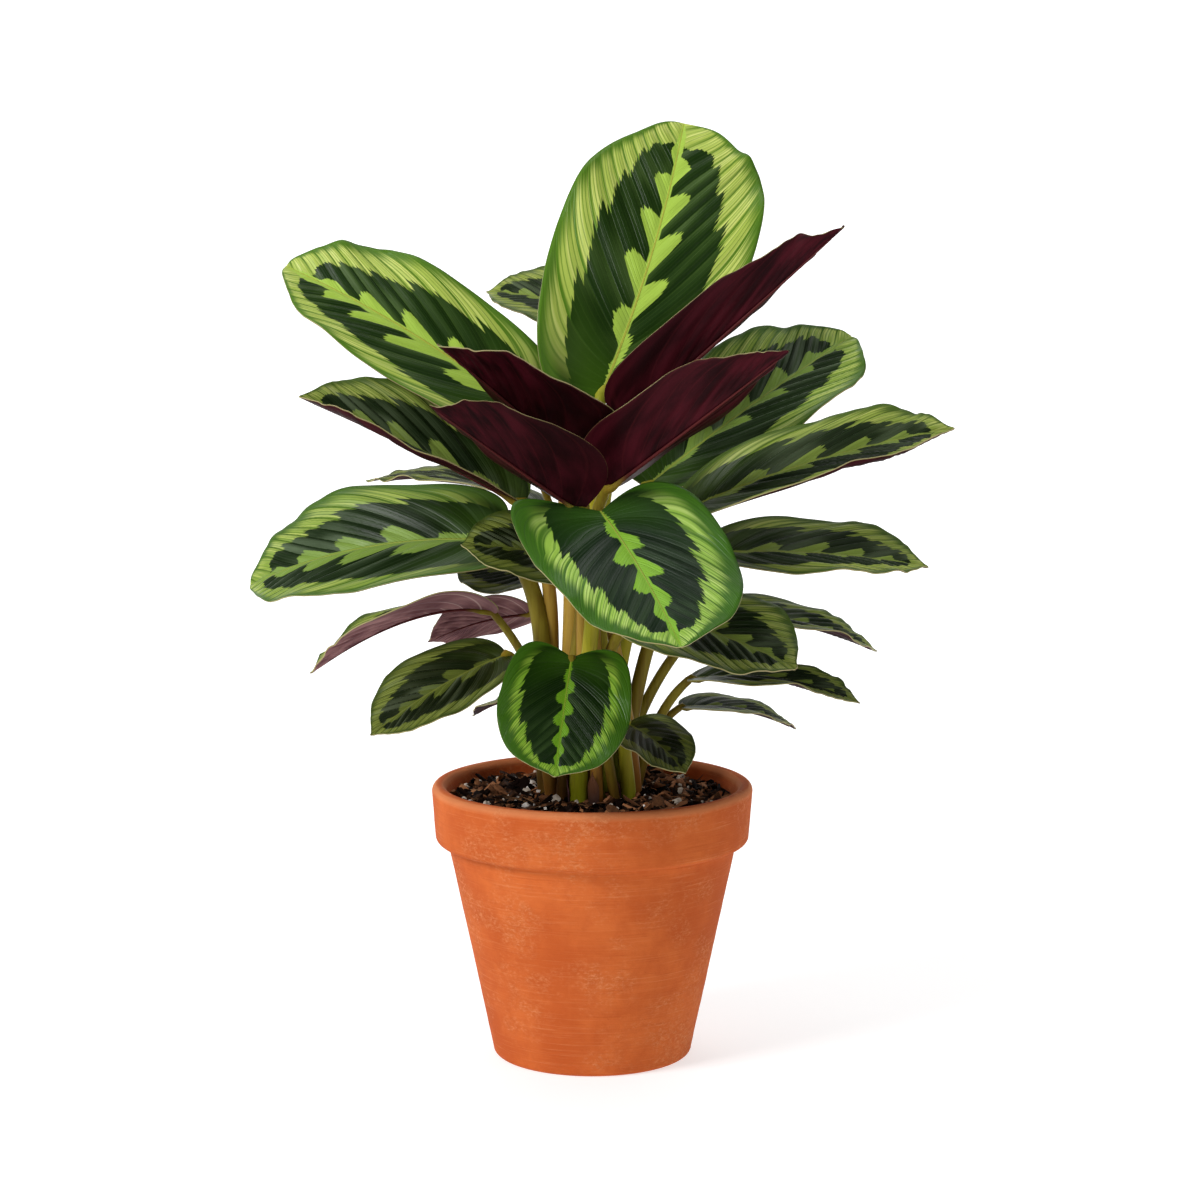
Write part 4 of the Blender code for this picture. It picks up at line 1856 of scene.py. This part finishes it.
# ---- studio ---------------------------------------------------------------------------
@dataclass(frozen=True)
class SoftBox:
    """One square soft light.

    Attributes:
        name: its name.
        place: where it hangs.
        size: its side.
        power: its power in watts.
    """

    name: str
    place: tuple[float, float, float]
    size: float
    power: float

    def hang(self, heart: tuple[float, float, float]) -> None:
        """Hang the light.

        Args:
            heart: what it looks at.
        """
        lamp = bpy.data.lights.new(self.name, "AREA")
        lamp.size = self.size
        lamp.energy = self.power
        box = bpy.data.objects.new(self.name, lamp)
        box.location = self.place
        aim = Vector(heart) - Vector(self.place)
        box.rotation_euler = aim.to_track_quat("-Z", "Y").to_euler()
        bpy.context.collection.objects.link(box)


@dataclass
class Studio:
    """Sweep, soft lights and camera.

    Attributes:
        eye: the camera's place.
        pitch: how far it looks down, in degrees.
        lens: its focal length in millimetres.
        film: width of its film in millimetres.
        heart: what the lights look at.
        boxes: the lights.
        air: strength of the light from all round.
        floor_size: half the side of the sweep.
        floor_depth: how far the sweep is flat behind the pot.
        floor_bend: radius of its bend up behind.
    """

    eye: tuple[float, float, float] = (0.0036, -1.4, 0.405)
    pitch: float = 7.74
    lens: float = 91.35
    film: float = 36.0
    heart: tuple[float, float, float] = (0.0, 0.0, 0.22)
    boxes: tuple[SoftBox, ...] = (
        SoftBox("key_box", (-1.5, -1.1, 1.3), 0.8, 40.0),
        SoftBox("fill_box", (1.5, -1.3, 0.7), 1.2, 7.0),
        SoftBox("top_box", (0.2, 0.2, 1.9), 1.0, 10.0),
        SoftBox("low_box", (-0.1, -1.9, 0.3), 0.8, 1.5),
    )
    air: float = 0.10
    floor_size: float = 6.0
    floor_depth: float = 1.6
    floor_bend: float = 1.2

    def sweep(self) -> None:
        """Lay the floor, which bends up far behind the pot."""
        shape = bmesh.new()
        bmesh.ops.create_grid(shape, x_segments=8, y_segments=96, size=self.floor_size)
        for corner in shape.verts:
            past = max(corner.co.y - self.floor_depth, 0.0)
            turn = min(past / self.floor_bend, math.pi / 2.0)
            above = max(past - self.floor_bend * math.pi / 2.0, 0.0)
            corner.co.y = min(corner.co.y, self.floor_depth) + self.floor_bend * math.sin(turn)
            corner.co.z = self.floor_bend * (1.0 - math.cos(turn)) + above
        place_piece("floor", shape, [Paper().make()])

    def camera(self) -> None:
        """Set up the camera."""
        scene = bpy.context.scene
        camera = bpy.data.cameras.new("camera")
        camera.lens = self.lens
        camera.sensor_width = self.film
        camera.dof.use_dof = False
        eye = bpy.data.objects.new("camera", camera)
        eye.location = self.eye
        eye.rotation_euler = (math.radians(90.0 - self.pitch), 0.0, 0.0)
        scene.collection.objects.link(eye)
        scene.camera = eye

    def build(self) -> None:
        """Set up the floor, the lights and the camera."""
        scene = bpy.context.scene
        scene.view_settings.view_transform = "Standard"
        world = bpy.data.worlds.new("studio_air")
        world.use_nodes = True
        inputs = world.node_tree.nodes["Background"].inputs
        inputs["Color"].default_value = (1.0, 1.0, 1.0, 1.0)
        inputs["Strength"].default_value = self.air
        scene.world = world
        self.sweep()
        for box in self.boxes:
            box.hang(self.heart)
        self.camera()


# ---- the plant ------------------------------------------------------------------------
LEAVES = [
    Leaf(1, (0.004, 0.020, 0.308), (0.044, 0.085, 0.435), (0.05, -0.966, 0.436), INNER_RING, 60,
         width=0.64, full=0.7, wide=1.18, fold=8, arch=0.03, skew=0.08, bow=0.025, pinch=0.0,
         blunt=0.24, look=Look.BRIGHT, tone=Tone.YELLOW),
    Leaf(2, (-0.022, 0.015, 0.293), (-0.143, 0.030, 0.368), (0.25, -0.852, 0.621), MIDDLE_RING,
         216, width=0.47, full=0.58, fold=16, arch=0.065, pinch=0.2, look=Look.BRIGHT,
         crowd=-0.6, stout=1.2, wave=0.0018),
    Leaf(3, (0.019, 0.078, 0.335), (-0.052, 0.100, 0.354), (0, -0.531, 0.847), MIDDLE_RING, 324,
         width=0.62, fold=10, tuck=0.002, look=Look.MIDDLE, tone=Tone.YELLOW),
    Leaf(4, (-0.007, -0.015, 0.279), (-0.067, -0.070, 0.337), (0.54, 0.616, 0.574), OUTER_RING,
         228, width=0.68, fold=25, arch=0.02, wide=0.6, full=1, look=Look.MIDDLE,
         tone=Tone.OLIVE, pleat=0.0003),
    Leaf(5, (0.015, -0.010, 0.299), (0.111, -0.050, 0.388), (-0.4, 0.698, 0.544), INNER_RING,
         330, width=0.32, fold=40, arch=0, wide=0.7, full=1, look=Look.MIDDLE, tone=Tone.YELLOW,
         pleat=0.0003),
    Leaf(6, (0.006, -0.030, 0.269), (0.085, -0.085, 0.335), (-0.35, 0.782, 0.391), MIDDLE_RING,
         252, width=0.46, fold=38, arch=0, wide=0.7, full=1, look=Look.MIDDLE, tone=Tone.TAN,
         stout=1.1, pleat=0.0003),
    Leaf(7, (-0.005, -0.045, 0.261), (-0.069, -0.095, 0.312), (0.35, 0.785, 0.443), OUTER_RING,
         252, width=0.55, fold=38, arch=0, wide=0.65, full=1, look=Look.MIDDLE, tone=Tone.YELLOW,
         stout=1.5, pleat=0.0003),
    Leaf(8, (-0.032, 0.000, 0.260), (-0.132, -0.025, 0.311), (0.2, -0.489, 0.839), OUTER_RING,
         156, width=0.48, fold=32, arch=0.02, roll=-120, look=Look.MIDDLE, stout=1.2),
    Leaf(9, (-0.041, 0.005, 0.242), (-0.162, 0.030, 0.218), (-0.1, -0.609, 0.792), OUTER_RING,
         180, width=0.56, tuck=0.002, full=0.62, fold=10, arch=0.09, look=Look.FRESH,
         tone=Tone.OLIVE, crowd=-0.45, stout=1.35, wave=0.0018, pinch=0.35, pleat=0.0011,
         blunt=0.10),
    Leaf(10, (-0.022, 0.070, 0.250), (-0.113, 0.110, 0.260), (0, -0.0786, 1.01), OUTER_RING, 84,
         width=0.34, fold=8, look=Look.OLIVE),
    Leaf(11, (-0.006, -0.030, 0.232), (-0.058, -0.055, 0.247), (0.1, -0.699, 0.798), OUTER_RING,
         276, width=0.7, fold=8, arch=0.1, look=Look.OLIVE, tone=Tone.TAN, stout=1.2),
    Leaf(12, (-0.015, 0.040, 0.226), (-0.067, 0.075, 0.223), (0, -0.649, 0.795), OUTER_RING, 108,
         width=0.64, tuck=0.002, fold=8, arch=-0.06, look=Look.OLIVE),
    Leaf(13, (0.004, -0.055, 0.262), (0.038, -0.127, 0.212), (0.1, -0.812, 0.604), OUTER_RING,
         348, width=0.88, full=0.66, lobe=0.25, fold=3, arch=0.06, point=0.05, tuck=0.003,
         skew=-0.12, look=Look.BLUE, tone=Tone.TAN, stout=1.1, pleat=0.0006, wide=0.9, pinch=0.45),
    Leaf(14, (-0.046, -0.020, 0.212), (-0.127, -0.045, 0.188), (0, 0.18, 0.991), MIDDLE_RING,
         180, width=0.44, fold=20, arch=0.11, peak=0.42, look=Look.MIDDLE, under=Under.LIT_MAUVE,
         tone=Tone.OLIVE, pleat=0.0016),
    Leaf(15, (-0.028, 0.020, 0.206), (-0.078, 0.030, 0.191), (0, 0.742, 0.656), MIDDLE_RING, 144,
         width=0.5, fold=10, look=Look.MIDDLE, under=Under.LIT_MAUVE, pleat=0.0014),
    Leaf(16, (-0.039, -0.030, 0.194), (-0.098, -0.070, 0.164), (-0.2, -0.662, 0.689), OUTER_RING,
         204, width=0.54, fold=10, arch=0.06, look=Look.OLIVE, tone=Tone.TAN, stout=1.3,
         crowd=-0.35, pleat=0.0012),
    Leaf(17, (-0.009, -0.060, 0.197), (-0.016, -0.100, 0.151), (0, -0.877, 0.449), OUTER_RING,
         300, width=0.96, full=0.68, lobe=0.16, fold=3, arch=0.05, point=0.05, look=Look.SHADED_BLUE,
         tone=Tone.OLIVE, pleat=0.0004),
    Leaf(18, (-0.021, 0.022, 0.166), (-0.058, 0.055, 0.151), (0, -0.244, 1.02), OUTER_RING, 132,
         width=0.35, look=Look.MIDDLE, tone=Tone.OLIVE),
    Leaf(19, (0.016, -0.019, 0.160), (0.042, -0.060, 0.145), (0.1, -0.662, 0.736), OUTER_RING,
         324, width=0.6, full=0.75, fold=8, arch=0.08, lobe=0.02, look=Look.OLIVE,
         tone=Tone.YELLOW, stout=1.5),
    Leaf(20, (0.025, 0.026, 0.265), (0.125, 0.080, 0.333), (-0.45, -0.709, 0.556), MIDDLE_RING,
         72, width=0.58, full=0.60, fold=12, arch=0.02, skew=0.05, lobe=0, wide=1.12, pinch=0.2,
         look=Look.FRESH, tone=Tone.YELLOW, pleat=0.0012),
    Leaf(21, (0.041, 0.000, 0.256), (0.163, -0.030, 0.297), (-0.15, -0.524, 0.79), MIDDLE_RING,
         288, width=0.35, full=0.75, fold=14, arch=0.045, look=Look.MIDDLE, tone=Tone.YELLOW,
         crowd=0.4, pleat=0.0014, roll=125),
    Leaf(22, (0.052, 0.000, 0.237), (0.155, -0.005, 0.231), (0, -0.442, 0.881), MIDDLE_RING, 0,
         width=0.44, fold=10, arch=0.04, look=Look.MIDDLE, tone=Tone.OLIVE, stout=1.25,
         pleat=0.0014),
    Leaf(23, (0.060, 0.010, 0.208), (0.136, 0.040, 0.185), (0, -0.288, 1.02), MIDDLE_RING, 36,
         width=0.45, fold=12, arch=0.05, look=Look.MIDDLE, tone=Tone.OLIVE, stout=1.2,
         pleat=0.0014),
    Leaf(24, (0.019, -0.035, 0.213), (0.089, -0.090, 0.197), (0, -0.55, 0.835), INNER_RING, 240,
         width=0.6, full=0.7, fold=8, arch=0.06, look=Look.MIDDLE, tone=Tone.OLIVE, stout=1.3,
         pleat=0.0013),
    Leaf(25, (0.046, 0.000, 0.178), (0.123, -0.020, 0.170), (0, -0.193, 1.01), OUTER_RING, 12,
         width=0.4, fold=8, arch=0.08, look=Look.MIDDLE, tone=Tone.OLIVE, stout=1.15, pleat=0.0014),
    Leaf(26, (0.042, 0.010, 0.163), (0.097, 0.030, 0.149), (0, -0.194, 1.01), OUTER_RING, 36,
         width=0.42, fold=10, arch=0.08, look=Look.MIDDLE, tone=Tone.OLIVE),
    Leaf(27, (-0.014, 0.025, 0.274), (-0.066, 0.040, 0.310), (0.3, -0.545, 0.743), MIDDLE_RING,
         108, width=0.5, look=Look.MIDDLE),
    Leaf(28, (-0.025, 0.030, 0.269), (-0.081, 0.035, 0.310), (0.3, -0.239, 0.82), INNER_RING, 150,
         width=0.45, look=Look.OLIVE),
    Leaf(29, (0.004, 0.055, 0.270), (0.014, 0.127, 0.270), (0, -0.0266, 1), OUTER_RING, 60,
         width=0.55, look=Look.MIDDLE),
]

WRAPS = [
    Sheath(7, 0.014, 170.0, Wrapping.WINE),
    Sheath(11, 0.018, 250.0, Wrapping.RUST),
    Sheath(19, 0.016, 190.0, Wrapping.WINE),
]


def main() -> None:
    """Build every sub-assembly in order."""
    logging.basicConfig(level=logging.INFO, format="%(name)s: %(message)s")
    low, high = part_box("pot")
    pot = Pot(height=high[2] - low[2], rim_radius=0.5 * (high[0] - low[0]))
    pot.build()
    soil_low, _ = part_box("soil")
    Soil(
        radius=pot.inner_radius(Soil.top) - 0.0007,
        foot_radius=pot.inner_radius(pot.floor) - 0.0037,
        foot=soil_low[2],
    ).build()
    Foliage(LEAVES).build()
    Sheaths(WRAPS, {leaf.number: leaf for leaf in LEAVES}).build()
    Studio().build()


if __name__ == "__main__":
    main()
